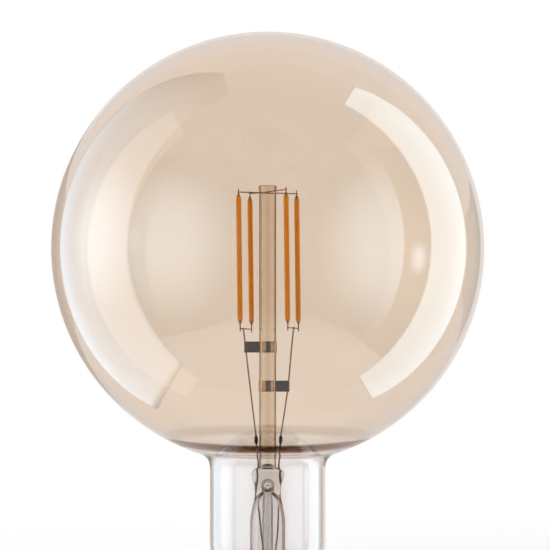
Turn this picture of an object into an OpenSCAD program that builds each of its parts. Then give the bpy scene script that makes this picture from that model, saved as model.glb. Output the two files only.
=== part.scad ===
// Smart filament light bulb: a large amber globe on a clear neck, four LED filaments on a glass
// stem, and a wireless driver inside a plastic collar and an E27 screw cap.
// Millimetres. +Z runs up the bulb's axis. The origin is the middle of the bottom contact's face.

/* [Globe and neck] */
// Outer diameter of the globe
globe_d = 125; // [110:1:140]
// Height from the bottom contact to the top of the globe
bulb_h = 192; // [186:1:200]
// Glass thickness of the globe
globe_wall = 0.8; // [0.6:0.1:1.2]
// Outer diameter of the neck
neck_d = 33.4; // [32:0.1:35]
// Glass thickness of the neck
neck_wall = 1.1; // [0.8:0.1:1.4]
// Radius of the shoulder where the globe runs into the neck
shoulder_r = 3.8; // [3:0.1:6]

/* [Filaments] */
// Length of a filament's phosphor coat, tapered ends included
filament_l = 37.7; // [30:0.1:40]
// Diameter of the phosphor coat
filament_d = 1.5; // [1:0.05:2]
// Radius of the circle that the four filaments stand on
cage_r = 9.9; // [8:0.1:11]
// Turn of the outer pair of filaments about the axis, in degrees
cage_turn = 32; // [10:1:40]
// Lean of the whole cage of filaments, in degrees
cage_lean = 0.75; // [0:0.05:1.5]
// Height of the tie wires over the globe's centre
tie_rise = 16.25; // [10:0.05:20]

/* [Stem] */
// Outer diameter of the support tube
support_d = 4.9; // [4:0.1:5.2]
// Glass thickness of the support tube
support_wall = 0.45; // [0.35:0.05:0.8]
// How far the support tube stands over the globe's centre
support_rise = 18.2; // [17:0.1:22]
// Outer diameter of the flare's straight stretch
flare_d = 10.1; // [9.5:0.1:11]
// Glass thickness of the flare and its press
flare_wall = 0.9; // [0.7:0.1:1.1]
// Outer diameter of the exhaust tube
exhaust_d = 3; // [2.6:0.1:3.2]

/* [Wires and clips] */
// Diameter of the tie wires and cross wires
tie_wire_d = 0.34; // [0.3:0.02:0.36]
// Diameter of the lead wires
lead_d = 0.46; // [0.4:0.02:0.6]
// Diameter of the wires that pass through the press
seal_d = 0.5; // [0.4:0.02:0.6]
// Height of the metal clips on the support tube
clip_h = 3.2; // [2:0.1:4]

/* [Collar and cap] */
// Widest diameter of the plastic collar
collar_d = 34.4; // [34:0.1:36]
// Crest diameter of the E27 thread, and the diameter of the cap's plain rim
cap_d = 26.2; // [26.05:0.05:26.45]
// Depth of the thread, crest to root, on the radius
thread_depth = 0.95; // [0.8:0.05:1]
// Pitch of the E27 thread
thread_pitch = 3.629; // [3.6:0.001:3.66]
// Thickness of the cap's sheet metal
cap_wall = 0.3; // [0.25:0.05:0.35]

/* [Electronics] */
// Width of the driver board
driver_w = 19; // [17:0.5:20]
// Width of the wireless module's board
wifi_w = 12.5; // [11:0.5:13]

/* [Hidden] */
$fn = 72;
eps = 0.01;

// Heights along the axis
globe_r = globe_d / 2;
globe_z = bulb_h - globe_r;
tie_z = globe_z + tie_rise;
neck_r = neck_d / 2;
neck_taper_z = 44.8;
neck_end_z = 32;
neck_end_r = 15.2;
press_top_z = 65.9;
press_z = 57.4;
flare_bell_z = 43.5;
flare_rim_z = 33.5;
exhaust_tip_z = 34.5;
rim_z = 21.4;
rim_top_z = 25.4;
collar_top_z = 39;

// Filament cage
filament_angles = [180 + cage_turn, 90 + cage_turn, 270 + cage_turn, cage_turn];
tie_gap = 0.55;
filament_top_z = tie_z - tie_gap;
tab_top = 1.4;
tab_bottom = 2.1;
cross_drop = 1.15;
tie_step = tie_wire_d + 0.02;

// Wires: left and right routes from the cross wires down to the driver board
left_lead = [[-7.09, -0.4, 106.6], [-6.42, -0.4, 101.0], [-4.63, -0.25, 85.6], [-3.35, 0, 75.2]];
right_lead = [[7.55, -0.6, 106.9], [6.97, -0.5, 101.7], [5.9, -0.4, 89.7], [5.33, -0.3, 85.6],
              [3.75, 0, 75.2]];
left_seal = [[-3.3, 0, 73.2], [-2.85, 0, 69.6], [-2.75, 0, 66.2], [-2.75, 0, 56], [-2.37, -0.7, 52.8],
             [-1.77, -1.6, 47.1], [-1.3, -2.2, 42.2], [-2.6, -2.4, 37], [-5.2, -1.7, 32.8],
             [-6.2, -1.15, 29.6]];
right_seal = [[3.7, 0, 73.2], [3.35, 0, 69.6], [3.2, 0, 66.2], [3.2, 0, 56], [3.1, 0.4, 52.8],
              [2.9, 0.9, 47.1], [2.4, 1.7, 42.2], [3, 2.2, 37], [5, 1.8, 32.8], [6.2, 1.15, 29.6]];
neutral_route = [[-8.2, 1, 12], [-9.6, 1, 13.4], [-10.9, 0.8, 16], [-11.25, 0.8, 19.6],
                 [-12.3, 0.8, 22.4], [-12.35, 0.8, 24.9]];
fuse_x = 7.6;
fuse_y = 3.3;
fuse_hole_z = 17.4;
fuse_lower_route = [[fuse_x, fuse_y, 8.6], [7.4, 3.2, 7.2], [4.5, 1.9, 6], [1.1, 0.5, 5.4], [0.1, 0, 4.4],
                    [0, 0, 3.6], [0, 0, 2.8]];
fuse_upper_route = [[fuse_x, fuse_y, 15.1], [fuse_x, fuse_y, 16.4], [fuse_x, 2.6, 17.3],
                    [fuse_x, 0.8, fuse_hole_z], [fuse_x, -0.9, fuse_hole_z]];
lead_r = 0.3;
neutral_r = 0.32;

// Driver board, and the pins that join the wireless module's board to it
header_xs = [-4, -2, 0, 2, 4];
header_z = 14.2;
pin_r = 0.3;
board_t = 1.2;
board_z = 8.6;
board_top_z = 30.6;
wifi_y = 6.4;
wifi_t = 0.8;
wifi_z = 13;
wifi_top_z = 33;

// ---------------------------------------------------------------- helpers

// 0 to 1, with no slope at either end
function ease(t) = let (u = min(1, max(0, t))) u * u * (3 - 2 * u);
function mix(a, b, t) = a + (b - a) * t;
function unit(v) = v / norm(v);
function last(list) = list[len(list) - 1];

// A smooth curve through points p, with n steps between each two
function spline_point(a, b, c, d, t) =
    0.5 * (2 * b + (c - a) * t + (2 * a - 5 * b + 4 * c - d) * t * t + (3 * b - a - 3 * c + d) * t * t * t);
function spline(p, n) = let (end = len(p) - 1) concat(
    [for (i = [0:end - 1], k = [0:n - 1])
        spline_point(p[max(i - 1, 0)], p[i], p[i + 1], p[min(i + 2, end)], k / n)],
    [p[end]]);

// The ring of a tube's wall round point i of path p
function ring(p, i, r, sides, side_axis) = let (
    ahead = p[min(i + 1, len(p) - 1)],
    behind = p[max(i - 1, 0)],
    t = unit(ahead - behind),
    u = unit(cross(t, side_axis)),
    v = cross(u, t)
) [for (k = [0:sides - 1]) p[i] + r * (u * cos(360 * k / sides) + v * sin(360 * k / sides))];

// The triangles between the rings of a tube's wall
function grid_faces(rings, sides, from, flip) = [for (i = [0:rings - 2], k = [0:sides - 1]) let (
    a = from + i * sides + k,
    b = from + i * sides + (k + 1) % sides
) each flip
    ? [[a, a + sides, b], [b, a + sides, b + sides]]
    : [[a, b, a + sides], [b, b + sides, a + sides]]];

// A round wire along path p
module wire(p, r, sides = 8, side_axis = [0, 1, 0]) {
    rings = len(p);
    points = [for (i = [0:rings - 1]) each ring(p, i, r, sides, side_axis)];
    start = [[for (k = [sides - 1:-1:0]) k]];
    end = [[for (k = [0:sides - 1]) (rings - 1) * sides + k]];
    polyhedron(points, concat(grid_faces(rings, sides, 0, false), start, end));
}

// A hollow sleeve along path p
module sleeve(p, r_out, r_in, sides = 8, side_axis = [0, 1, 0]) {
    rings = len(p);
    inner = rings * sides;
    points = concat(
        [for (i = [0:rings - 1]) each ring(p, i, r_out, sides, side_axis)],
        [for (i = [0:rings - 1]) each ring(p, i, r_in, sides, side_axis)]);
    ends = [for (k = [0:sides - 1]) let (n = (k + 1) % sides, top = (rings - 1) * sides)
        each [[k, inner + k, n], [n, inner + k, inner + n],
              [top + k, top + n, inner + top + k], [top + n, inner + top + n, inner + top + k]]];
    walls = concat(grid_faces(rings, sides, 0, false), grid_faces(rings, sides, inner, true));
    polyhedron(points, concat(walls, ends));
}

// Places children, drawn up the Z axis, so that they run from p towards q
module along(p, q) {
    d = q - p;
    translate(p) rotate([0, acos(d.z / norm(d)), atan2(d.y, d.x)]) children();
}

module rod(p, q, r) {
    along(p, q) cylinder(h = norm(q - p), r = r);
}

module tube(r_out, r_in, h) {
    difference() {
        cylinder(h = h, r = r_out);
        translate([0, 0, -eps]) cylinder(h = h + 2 * eps, r = r_in);
    }
}

module box(from, to) {
    translate(from) cube(to - from);
}

// ---------------------------------------------------------------- glass envelope

// Half outline of a ball that runs into a neck through a round shoulder
module ball_and_neck(ball_r, tube_r, end_r, fillet_r) {
    steps = 12;
    middle = [tube_r + fillet_r, globe_z - sqrt(pow(ball_r + fillet_r, 2) - pow(tube_r + fillet_r, 2))];
    start_angle = atan2(globe_z - middle.y, -middle.x);
    shoulder = [for (i = [0:steps]) let (a = mix(start_angle, 180, i / steps))
        middle + fillet_r * [cos(a), sin(a)]];
    taper = [for (i = [0:steps]) let (t = i / steps)
        [mix(tube_r, end_r, ease(t)), mix(neck_taper_z, neck_end_z + 4.5, t)]];
    intersection() {
        translate([0, globe_z]) circle(ball_r, $fn = 180);
        translate([0, shoulder[0].y]) square([ball_r + 1, 2 * ball_r]);
    }
    polygon(concat([[0, globe_z]], shoulder, taper, [[end_r, neck_end_z], [0, neck_end_z]]));
}

module glass_envelope() {
    color("#e2c49a", 0.45) rotate_extrude($fn = 180) difference() {
        ball_and_neck(globe_r, neck_r, neck_end_r, shoulder_r);
        ball_and_neck(globe_r - globe_wall, neck_r - neck_wall, neck_end_r - neck_wall,
            shoulder_r + neck_wall);
        translate([0, neck_end_z - 1]) square([neck_end_r - neck_wall, 3]);
    }
}

// ---------------------------------------------------------------- stem

// The flare's outline at radius offset inset: a dome under the press, a straight tube, and a bell
module flare_outline(inset, end_z) {
    steps = 14;
    straight_r = flare_d / 2 - inset;
    rim_r = neck_end_r - neck_wall;
    bell = [for (i = [0:steps]) let (a = 90 * i / steps)
        [mix(rim_r, straight_r, cos(a)), mix(flare_bell_z, end_z, sin(a))]];
    dome = [for (i = [0:steps]) let (t = i / steps)
        [mix(3.7 - inset, straight_r, ease(0.5 + t / 2) * 2 - 1), mix(press_z + 0.4 - inset, 50, t)]];
    polygon(concat([[0, press_z + 0.4 - inset]], dome, bell, [[rim_r, end_z - 3], [0, end_z - 3]]));
}

module flare_shell() {
    rotate_extrude() difference() {
        flare_outline(0, flare_rim_z);
        flare_outline(flare_wall, flare_rim_z - flare_wall);
        translate([0, flare_rim_z - flare_wall - 4]) square([neck_end_r, 4]);
    }
}

press_shoulder_r = 1.9;
press_shoulder_x = 2.8;
press_half_w = 3.75;
press_half_t = 2.6;
press_foot_half_t = 3.6;

// The pinched glass seen from the front, with its two round shoulders
module press_front() {
    for (side = [-1, 1])
        translate([side * press_shoulder_x, press_top_z - press_shoulder_r]) circle(press_shoulder_r);
    translate([-press_half_w, press_z - 1]) square([2 * press_half_w, press_top_z - press_z - 0.6]);
}

// The pinched glass seen from the side: thick over the flare and thinner at the pinch
module press_side() {
    steps = 6;
    edge = concat(
        [for (i = [0:steps]) let (t = i / steps)
            [mix(press_foot_half_t, press_half_t, ease(t)), press_z + mix(-1, 5.4, t)]],
        [[press_half_t, press_top_z - 0.5], [press_half_t - 0.4, press_top_z]]);
    for (side = [0, 1]) mirror([side, 0]) polygon(concat([[0, press_z - 1]], edge, [[0, press_top_z]]));
}

exhaust_hole_z = 61.2;
exhaust_hole_r = 1.1;
hole_ring_r = 1.9;
hole_ring_top_y = -3.2;
meniscus_r = 1.6;
seal_left_x = -2.75;
seal_right_x = 3.2;

module stem_flare() {
    bore_r = exhaust_hole_r - 0.1;
    color("#dfe3e2", 0.4) difference() {
        union() {
            flare_shell();
            intersection() {
                rotate([90, 0, 0]) linear_extrude(12, center = true) press_front();
                rotate([90, 0, 90]) linear_extrude(12, center = true) press_side();
            }
            translate([0, hole_ring_top_y, exhaust_hole_z]) rotate([-90, 0, 0])
                cylinder(h = 1.2, r = hole_ring_r);
            translate([0, 0, press_top_z - 0.3]) sphere(meniscus_r);
        }
        translate([0, 0, press_z - 1.5]) cylinder(h = exhaust_hole_z - press_z + 0.3, r = exhaust_d / 2);
        translate([0, 0, press_z]) cylinder(h = exhaust_hole_z - press_z + 0.4, r = bore_r);
        translate([0, 0, exhaust_hole_z]) rotate([90, 0, 0]) cylinder(h = 4, r = exhaust_hole_r);
        for (x = [seal_left_x, seal_right_x]) rod([x, 0, 50], [x, 0, 70], seal_d / 2 + eps);
        translate([0, 0, press_top_z - 0.05])
            tube(support_d / 2 + eps, support_d / 2 - support_wall - eps, 3);
    }
}

module exhaust_tube() {
    tip_l = 3.5;
    wall = 0.5;
    top_z = exhaust_hole_z - 1.2;
    r = exhaust_d / 2;
    color("#dfe3e2", 0.4) rotate_extrude() polygon([
        [r, top_z], [r, exhaust_tip_z + tip_l], [r * 0.8, exhaust_tip_z + 1.6], [0.3, exhaust_tip_z],
        [0, exhaust_tip_z], [0, exhaust_tip_z + 2.4], [r - wall, exhaust_tip_z + tip_l], [r - wall, top_z]]);
}

module support_tube() {
    color("#d9cdb8", 0.5) difference() {
        translate([0, 0, press_top_z - 0.05])
            tube(support_d / 2, support_d / 2 - support_wall, globe_z + support_rise - press_top_z);
        for (i = [0, 1]) rod(tie_end(i), tie_end(3 - i), tie_wire_d / 2 + eps);
    }
}

// ---------------------------------------------------------------- filament cage

// A point of the upright cage, leaned about the place where the tie wires cross
function leaned(p) = let (s = sin(cage_lean), c = cos(cage_lean), z = p.z - tie_z)
    [p.x * c - z * s, p.y, tie_z + z * c + p.x * s];
function cage_point(i, z) = leaned([cage_r * cos(filament_angles[i]), cage_r * sin(filament_angles[i]), z]);
function tie_end(i) = cage_point(i, tie_z + (i == 0 || i == 3 ? -tie_step / 2 : tie_step / 2));
function cross_end(i) = cage_point(i, filament_top_z - filament_l - cross_drop);

module filament(i) {
    r = filament_d / 2;
    tip_r = 0.25;
    tip_l = 1.5;
    color("#c47a1e") along(cage_point(i, filament_top_z - filament_l), cage_point(i, filament_top_z))
        rotate_extrude() polygon([
            [0, 0], [tip_r, 0], [r * 0.93, tip_l * 0.85], [r, tip_l], [r, filament_l - tip_l],
            [r * 0.93, filament_l - tip_l * 0.85], [tip_r, filament_l], [0, filament_l]]);
}

// The two metal ends that the phosphor coat leaves bare
module filament_tabs(i) {
    w = 0.6;
    t = 0.2;
    cross_angle = cage_turn + 45 + (i < 2 ? 0 : 180);
    color("#8d867c") difference() {
        along(cage_point(i, filament_top_z - filament_l), cage_point(i, filament_top_z)) {
            rotate(cross_angle) translate([-t / 2, -w / 2, -tab_bottom]) cube([t, w, tab_bottom]);
            rotate(filament_angles[i]) translate([-t / 2, -w / 2, filament_l]) cube([t, w, tab_top]);
        }
        rod(tie_end(i), tie_end(3 - i), tie_wire_d / 2 + eps);
        cross_rod(i < 2 ? 0 : 2, eps);
    }
}

// A straight wire across the cage that joins the tops of two opposite filaments
module tie_wire(i) {
    over = 0.5;
    a = tie_end(i);
    b = tie_end(3 - i);
    d = unit(b - a) * over;
    color("#6d6152") rod(a - d, b + d, tie_wire_d / 2);
}

// The wire under a pair of filaments: 0 is the left pair and 2 the right pair
module cross_rod(i, extra) {
    over = 0.6;
    a = cross_end(i);
    b = cross_end(i + 1);
    d = unit(b - a) * over;
    rod(a - d, b + d, tie_wire_d / 2 + extra);
}

module cross_wire(i, lead) {
    color("#7a6f62") difference() {
        cross_rod(i, 0);
        wire(spline(lead, 4), lead_d / 2);
    }
}

module lead_wire(route) {
    color("#8a7660") wire(spline(route, 4), lead_d / 2);
}

module weld_bead(lead, seal) {
    top = last(lead);
    low = seal[0];
    r = 0.52;
    color("#5b4636") along(low, top) rotate_extrude()
        polygon([for (k = [0:12]) let (a = 180 * k / 12)
            [r * (0.45 + 0.55 * sin(a)) * (a == 0 || a == 180 ? 0 : 1), norm(top - low) * (1 - cos(a)) / 2]]);
}

module seal_wire(route) {
    color("#a5653a") wire(spline(route, 4), seal_d / 2);
}

// A woven sleeve over a seal wire, from inside the flare to just short of the board
module wire_sleeve(route) {
    full = spline(route, 4);
    first = 25;
    color("#f1ece0") sleeve([for (i = [first:len(full) - 3]) full[i]], 0.6, seal_d / 2 + eps);
}

// A strip of metal bent round the support tube, with a tail that is curled round a lead wire
module clip(z, lead_low, lead_high) {
    strip_t = 0.16;
    inner_r = support_d / 2 + 0.02;
    middle = (lead_low + lead_high) / 2;
    d = unit(lead_high - lead_low) * clip_h / 2;
    color("#9b8f80") difference() {
        union() {
            translate([0, 0, z]) tube(inner_r + strip_t, inner_r, clip_h);
            translate([0, 0, z]) linear_extrude(clip_h) difference() {
                hull() {
                    circle(strip_t / 2, $fn = 16);
                    translate([middle.x, middle.y]) circle(strip_t / 2, $fn = 16);
                }
                circle(inner_r + strip_t / 2);
            }
            intersection() {
                rod(middle - 1.5 * d, middle + 1.5 * d, lead_d / 2 + strip_t);
                translate([-10, -10, z]) cube([20, 20, clip_h]);
            }
        }
        rod(middle - 2 * d, middle + 2 * d, lead_d / 2 + eps);
    }
}

// ---------------------------------------------------------------- collar and cap

socket_r = neck_end_r + 0.4;

module neck_cement() {
    color("#e9e4d8") translate([0, 0, neck_end_z]) tube(socket_r, neck_end_r, 4.4);
}

module collar() {
    spigot_r = cap_d / 2 - 0.4;
    top_r = collar_d / 2;
    low_r = cap_d / 2 + 0.7;
    lip_r = 0.8;
    steps = 12;
    side = [for (i = [0:steps]) let (t = i / steps)
        [mix(low_r, top_r, ease(t)), mix(rim_top_z + 0.4, collar_top_z - 2, t)]];
    lip = [for (a = [0:15:90]) [top_r - lip_r + lip_r * cos(a), collar_top_z - lip_r + lip_r * sin(a)]];
    color("#f4f3ef") difference() {
        rotate_extrude() polygon(concat(
            [[11.5, rim_z + 0.4], [spigot_r, rim_z + 0.4], [spigot_r, rim_top_z], [low_r - 0.4, rim_top_z]],
            side, lip,
            [[socket_r + 0.5, collar_top_z], [socket_r, collar_top_z - 0.5], [socket_r, neck_end_z],
             [12.9, neck_end_z], [12.9, 28.5], [11.5, 27]]));
        translate([-13.2, 0.35, rim_z]) cube([1.5, 0.9, rim_top_z - rim_z - 0.1]);
    }
}

thread_low_z = 4.5;
thread_top_z = 21.7;
rim_wall = 0.35;

// Outer radius of the threaded sheet at height z and angle a
function thread_r(z, a) = let (
    crest = cap_d / 2 - 0.03,
    middle = crest - thread_depth / 2,
    low = mix(11.15, middle, ease((z - thread_low_z) / 2.2)),
    base = mix(low, cap_d / 2 - 0.15, ease((z - rim_z + 1.6) / 1.6)),
    swing = thread_depth / 2 * ease((z - thread_low_z - 1.2) / 2) * ease((rim_z - 0.1 - z) / 1.4)
) base + swing * cos(360 * z / thread_pitch - a);

module cap_shell() {
    sides = 36;
    rows = 36;
    heights = [for (i = [0:rows]) mix(thread_low_z, thread_top_z, i / rows)];
    outer = [for (z = heights, k = [0:sides - 1]) let (a = -360 * k / sides)
        [thread_r(z, a) * cos(a), thread_r(z, a) * sin(a), z]];
    inner = [for (z = heights, k = [0:sides - 1]) let (a = -360 * k / sides, r = thread_r(z, a) - cap_wall)
        [r * cos(a), r * sin(a), z]];
    from = len(outer);
    top = rows * sides;
    ends = [for (k = [0:sides - 1]) let (n = (k + 1) % sides)
        each [[k, from + k, n], [n, from + k, from + n],
              [top + k, top + n, from + top + k], [top + n, from + top + n, from + top + k]]];
    color("#d2d3d2") {
        polyhedron(concat(outer, inner), concat(grid_faces(rows + 1, sides, 0, false),
            grid_faces(rows + 1, sides, from, true), ends));
        translate([0, 0, rim_z]) tube(cap_d / 2, cap_d / 2 - rim_wall, rim_top_z - rim_z);
    }
}

contact_stud_r = 1.3;

module cap_insulator() {
    color("#1c1a1d") rotate_extrude() polygon([
        [contact_stud_r, 1.4], [5, 1.4], [5.6, 1.7], [10.4, 4.3], [11, 5], [11.05, 6.6], [10.2, 6.6],
        [9.4, 5.6], [4.2, 3.6], [contact_stud_r, 3.6]]);
}

// The contact's stud is drilled for the live lead
module centre_contact() {
    color("#c9a75c") difference() {
        rotate_extrude() polygon([[0, 0], [3.6, 0], [4.5, 0.45], [4.9, 1], [4.9, 1.4], [contact_stud_r, 1.4],
            [contact_stud_r, 3.6], [0, 3.6]]);
        translate([0, 0, 2.7]) cylinder(h = 2, r = 0.4);
    }
}

// ---------------------------------------------------------------- driver electronics

module driver_board() {
    color("#2f6b45") difference() {
        box([-driver_w / 2, -board_t / 2, board_z], [driver_w / 2, board_t / 2, board_top_z]);
        for (x = header_xs) rod([x, -2, header_z], [x, 2, header_z], pin_r + eps);
        rod([fuse_x, -2, fuse_hole_z], [fuse_x, 2, fuse_hole_z], lead_r + eps);
    }
}

// The bulk capacitor's can, with the groove that is rolled in near its seal
can_r = 4;
can_x = -4.7;
can_y = -5;
can_z = 10.4;
can_l = 12;

module bulk_capacitor() {
    r = can_r;
    color("#26262b") translate([can_x, can_y, can_z]) rotate_extrude() polygon([
        [0, 0], [r - 0.4, 0], [r, 0.4], [r, 1.2], [r - 0.35, 1.7], [r, 2.2], [r, can_l - 0.5],
        [r - 0.4, can_l], [r - 1, can_l], [r - 1.1, can_l - 0.2], [0, can_l - 0.2]]);
}

module bulk_capacitor_leads() {
    spacing = 3.5;
    r = 0.25;
    low_z = can_z - 1.3;
    color("#b9bbbd") for (x = [can_x - spacing / 2, can_x + spacing / 2])
        wire(spline([[x, can_y, can_z], [x, can_y, can_z - 0.9], [x, can_y + 1.2, low_z],
                     [x, -board_t / 2 - 0.05, low_z]], 3), r, 8, [1, 0, 0]);
}

// A dipped block on two short feet that stand on the board's front face
module film_capacitor() {
    size = [6.8, 3.7, 6.2];
    foot = 0.6;
    left = 1.6;
    low = 10.2;
    back_y = -board_t / 2 - foot;
    color("#b0342c") {
        box([left, back_y - size.y, low], [left + size.x, back_y, low + size.z]);
        for (x = [left + 1, left + size.x - 1])
            box([x - foot / 2, back_y, low + 1.8], [x + foot / 2, back_y + foot, low + 1.8 + foot]);
    }
}

choke_x = 4.9;
choke_y = -4.4;
choke_z = 18;
choke_l = 8;
choke_flange_r = 3.3;
choke_flange_t = 1;
choke_core_r = 1.6;

module choke_core() {
    color("#4a4644") translate([choke_x, choke_y, choke_z]) rotate_extrude() polygon([
        [0, 0], [choke_flange_r, 0], [choke_flange_r, choke_flange_t], [choke_core_r, choke_flange_t],
        [choke_core_r, choke_l - choke_flange_t], [choke_flange_r, choke_l - choke_flange_t],
        [choke_flange_r, choke_l], [0, choke_l]]);
}

// Copper wire wound in even turns between the core's two flanges
module choke_winding() {
    turns = 12;
    wound_r = 2.7;
    wound_l = choke_l - 2 * choke_flange_t;
    pitch = wound_l / turns;
    color("#b5692f") translate([choke_x, choke_y, choke_z + choke_flange_t]) rotate_extrude() polygon(concat(
        [[choke_core_r, 0]],
        [for (i = [0:turns - 1], a = [0:45:135])
            [wound_r + pitch / 2 * sin(a), pitch * (i + (1 - cos(a)) / 2)]],
        [[wound_r, wound_l], [choke_core_r, wound_l]]));
}

// A chip on the back of the driver board, with its legs in a row below it and, if asked, one above it
module chip(left, low, size, leg_xs, leg_w, leg_l, both_rows = true) {
    face_y = board_t / 2;
    lift = 0.15;
    leg_t = 0.4;
    box([left, face_y + lift, low], [left + size.x, face_y + size.y, low + size.z]);
    for (x = leg_xs, z = both_rows ? [low - leg_l, low + size.z] : [low - leg_l])
        box([left + x, face_y, z], [left + x + leg_w, face_y + leg_t, z + leg_l]);
}

module bridge_rectifier() {
    color("#232326") chip(-7.2, 18.6, [4.8, 2.5, 4], [1.1, 3.6], 0.7, 1);
}

module driver_chip() {
    leg_pitch = 1.27;
    color("#1d1d20") chip(2.2, 22.2, [4.9, 1.6, 3.9], [for (i = [0:3]) 0.35 + leg_pitch * i], 0.4, 0.9);
}

module power_transistor() {
    color("#2a2a2e") chip(-7.4, 24.6, [4, 1.7, 3.4], [0.3, 2.9], 0.7, 1, false);
}

// Small parts in rows and columns, soldered flat on the back of the driver board
module small_parts(left, low, size, columns, rows, step) {
    for (i = [0:columns - 1], k = [0:rows - 1])
        translate([left + step[0] * i, board_t / 2, low + step[1] * k]) cube(size);
}

module chip_resistors() {
    color("#303038") small_parts(-1.6, 17.8, [1.6, 0.45, 0.8], 2, 3, [2.1, 2]);
}

module chip_capacitors() {
    color("#b79a6a") small_parts(-2.1, 24.6, [1.6, 0.8, 1], 2, 2, [2.4, 2.2]);
}

// A solder dome over a pad: face -1 is the board's front and 1 is its back
module solder_dome(x, z, face) {
    r = 0.8;
    translate([x, face * board_t / 2, z]) intersection() {
        sphere(r);
        translate([-r, face < 0 ? -r : 0, -r]) cube([2 * r, r, 2 * r]);
    }
}

module solder_joints() {
    color("#c3c5c6") difference() {
        union() {
            for (x = header_xs) solder_dome(x, header_z, -1);
            solder_dome(fuse_x, fuse_hole_z, -1);
            solder_dome(last(left_seal).x, last(left_seal).z, -1);
            solder_dome(last(right_seal).x, last(right_seal).z, 1);
            solder_dome(neutral_route[0].x, neutral_route[0].z, 1);
        }
        for (x = header_xs) rod([x, -1, header_z], [x, 1, header_z], pin_r + eps);
        wire(spline(fuse_upper_route, 4), lead_r + eps, 8, [1, 0, 0]);
        wire(spline(left_seal, 4), seal_d / 2 + eps);
        wire(spline(right_seal, 4), seal_d / 2 + eps);
        wire(spline(neutral_route, 4), neutral_r + eps);
    }
}

fuse_z = 8.6;
fuse_l = 6.5;
fuse_r = 1.25;

// A resistor with a fuse inside it, thicker at its two end caps
module fusible_resistor() {
    waist_r = fuse_r - 0.15;
    color("#7fa6a0") translate([fuse_x, fuse_y, fuse_z]) rotate_extrude() polygon([
        [0, 0], [0.9, 0], [fuse_r, 0.4], [fuse_r, 1.5], [waist_r, 1.9], [waist_r, fuse_l - 1.9],
        [fuse_r, fuse_l - 1.5], [fuse_r, fuse_l - 0.4], [0.9, fuse_l], [0, fuse_l]]);
}

module fuse_leads() {
    color("#b9bbbd") {
        wire(spline(fuse_lower_route, 4), lead_r);
        wire(spline(fuse_upper_route, 4), lead_r, 8, [1, 0, 0]);
    }
}

module fuse_sleeve() {
    over = 0.3;
    color("#e7e2d2", 0.7) translate([fuse_x, fuse_y, fuse_z - over])
        tube(fuse_r + 0.25, fuse_r + 0.02, fuse_l + 2 * over);
}

module neutral_lead() {
    color("#2d4f9e") wire(spline(neutral_route, 4), neutral_r);
}

module wifi_board() {
    color("#1f4e8c") difference() {
        box([-wifi_w / 2, wifi_y, wifi_z], [wifi_w / 2, wifi_y + wifi_t, wifi_top_z]);
        for (x = header_xs) rod([x, wifi_y - 1, header_z], [x, wifi_y + 2, header_z], pin_r + eps);
    }
}

// A drawn tin lid over the module's chips, open towards its board
module wifi_shield_can() {
    half_w = 5;
    depth = 1.7;
    wall = 0.2;
    low = 15.8;
    top = 25.4;
    face_y = wifi_y + wifi_t;
    color("#c6c9cb") difference() {
        box([-half_w, face_y, low], [half_w, face_y + depth, top]);
        box([wall - half_w, face_y - 1, low + wall], [half_w - wall, face_y + depth - wall, top - wall]);
    }
}

// A zigzag strip of copper on the module's top edge, which stands above the metal cap
module wifi_antenna() {
    w = 0.6;
    t = 0.08;
    legs = 7;
    low = 27;
    high = 32.4;
    left = -4.8;
    step = 1.6;
    y = wifi_y + wifi_t;
    color("#c98a4b") {
        for (i = [0:legs - 1]) box([left + step * i, y, low], [left + step * i + w, y + t, high]);
        for (i = [0:legs - 2]) let (z = i % 2 == 0 ? high - w : low)
            box([left + step * i, y, z], [left + step * (i + 1) + w, y + t, z + w]);
    }
}

module header_body() {
    half_w = 5.2;
    half_h = 1.1;
    depth = 2.2;
    color("#18181b") difference() {
        box([-half_w, board_t / 2 + 2 * eps, header_z - half_h],
            [half_w, board_t / 2 + depth, header_z + half_h]);
        for (x = header_xs) rod([x, 0, header_z], [x, 4, header_z], pin_r + eps);
    }
}

module header_pins() {
    stick_out = 0.6;
    color("#cdb26a") for (x = header_xs)
        rod([x, -1, header_z], [x, wifi_y + wifi_t + stick_out, header_z], pin_r);
}

// ---------------------------------------------------------------- assembly

upper_clip_z = 99.4;
lower_clip_z = 88.1;

// The point of a falling route at height z
function at_height(route, z) = let (
    p = spline(route, 4),
    i = [for (k = [0:len(p) - 2]) if (p[k].z >= z && p[k + 1].z <= z) k][0]
) mix(p[i], p[i + 1], (p[i].z - z) / (p[i].z - p[i + 1].z));

glass_envelope();
stem_flare();
exhaust_tube();
support_tube();
for (i = [0:3]) {
    filament(i);
    filament_tabs(i);
}
tie_wire(0);  // tie_wire_outer
tie_wire(1);  // tie_wire_inner
cross_wire(0, left_lead);  // cross_wire_left
cross_wire(2, right_lead);  // cross_wire_right
lead_wire(left_lead);  // lead_wire_left
lead_wire(right_lead);  // lead_wire_right
weld_bead(left_lead, left_seal);  // weld_bead_left
weld_bead(right_lead, right_seal);  // weld_bead_right
seal_wire(left_seal);  // seal_wire_left
seal_wire(right_seal);  // seal_wire_right
wire_sleeve(left_seal);  // wire_sleeve_left
wire_sleeve(right_seal);  // wire_sleeve_right
clip(upper_clip_z, at_height(left_lead, upper_clip_z), at_height(left_lead, upper_clip_z + clip_h));  // clip_upper
clip(lower_clip_z, at_height(right_lead, lower_clip_z), at_height(right_lead, lower_clip_z + clip_h));  // clip_lower
neck_cement();
collar();
cap_shell();
cap_insulator();
centre_contact();
driver_board();
bulk_capacitor();
bulk_capacitor_leads();
film_capacitor();
choke_core();
choke_winding();
bridge_rectifier();
driver_chip();
power_transistor();
chip_resistors();
chip_capacitors();
solder_joints();
fusible_resistor();
fuse_leads();
fuse_sleeve();
neutral_lead();
wifi_board();
wifi_shield_can();
wifi_antenna();
header_body();
header_pins();
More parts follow.
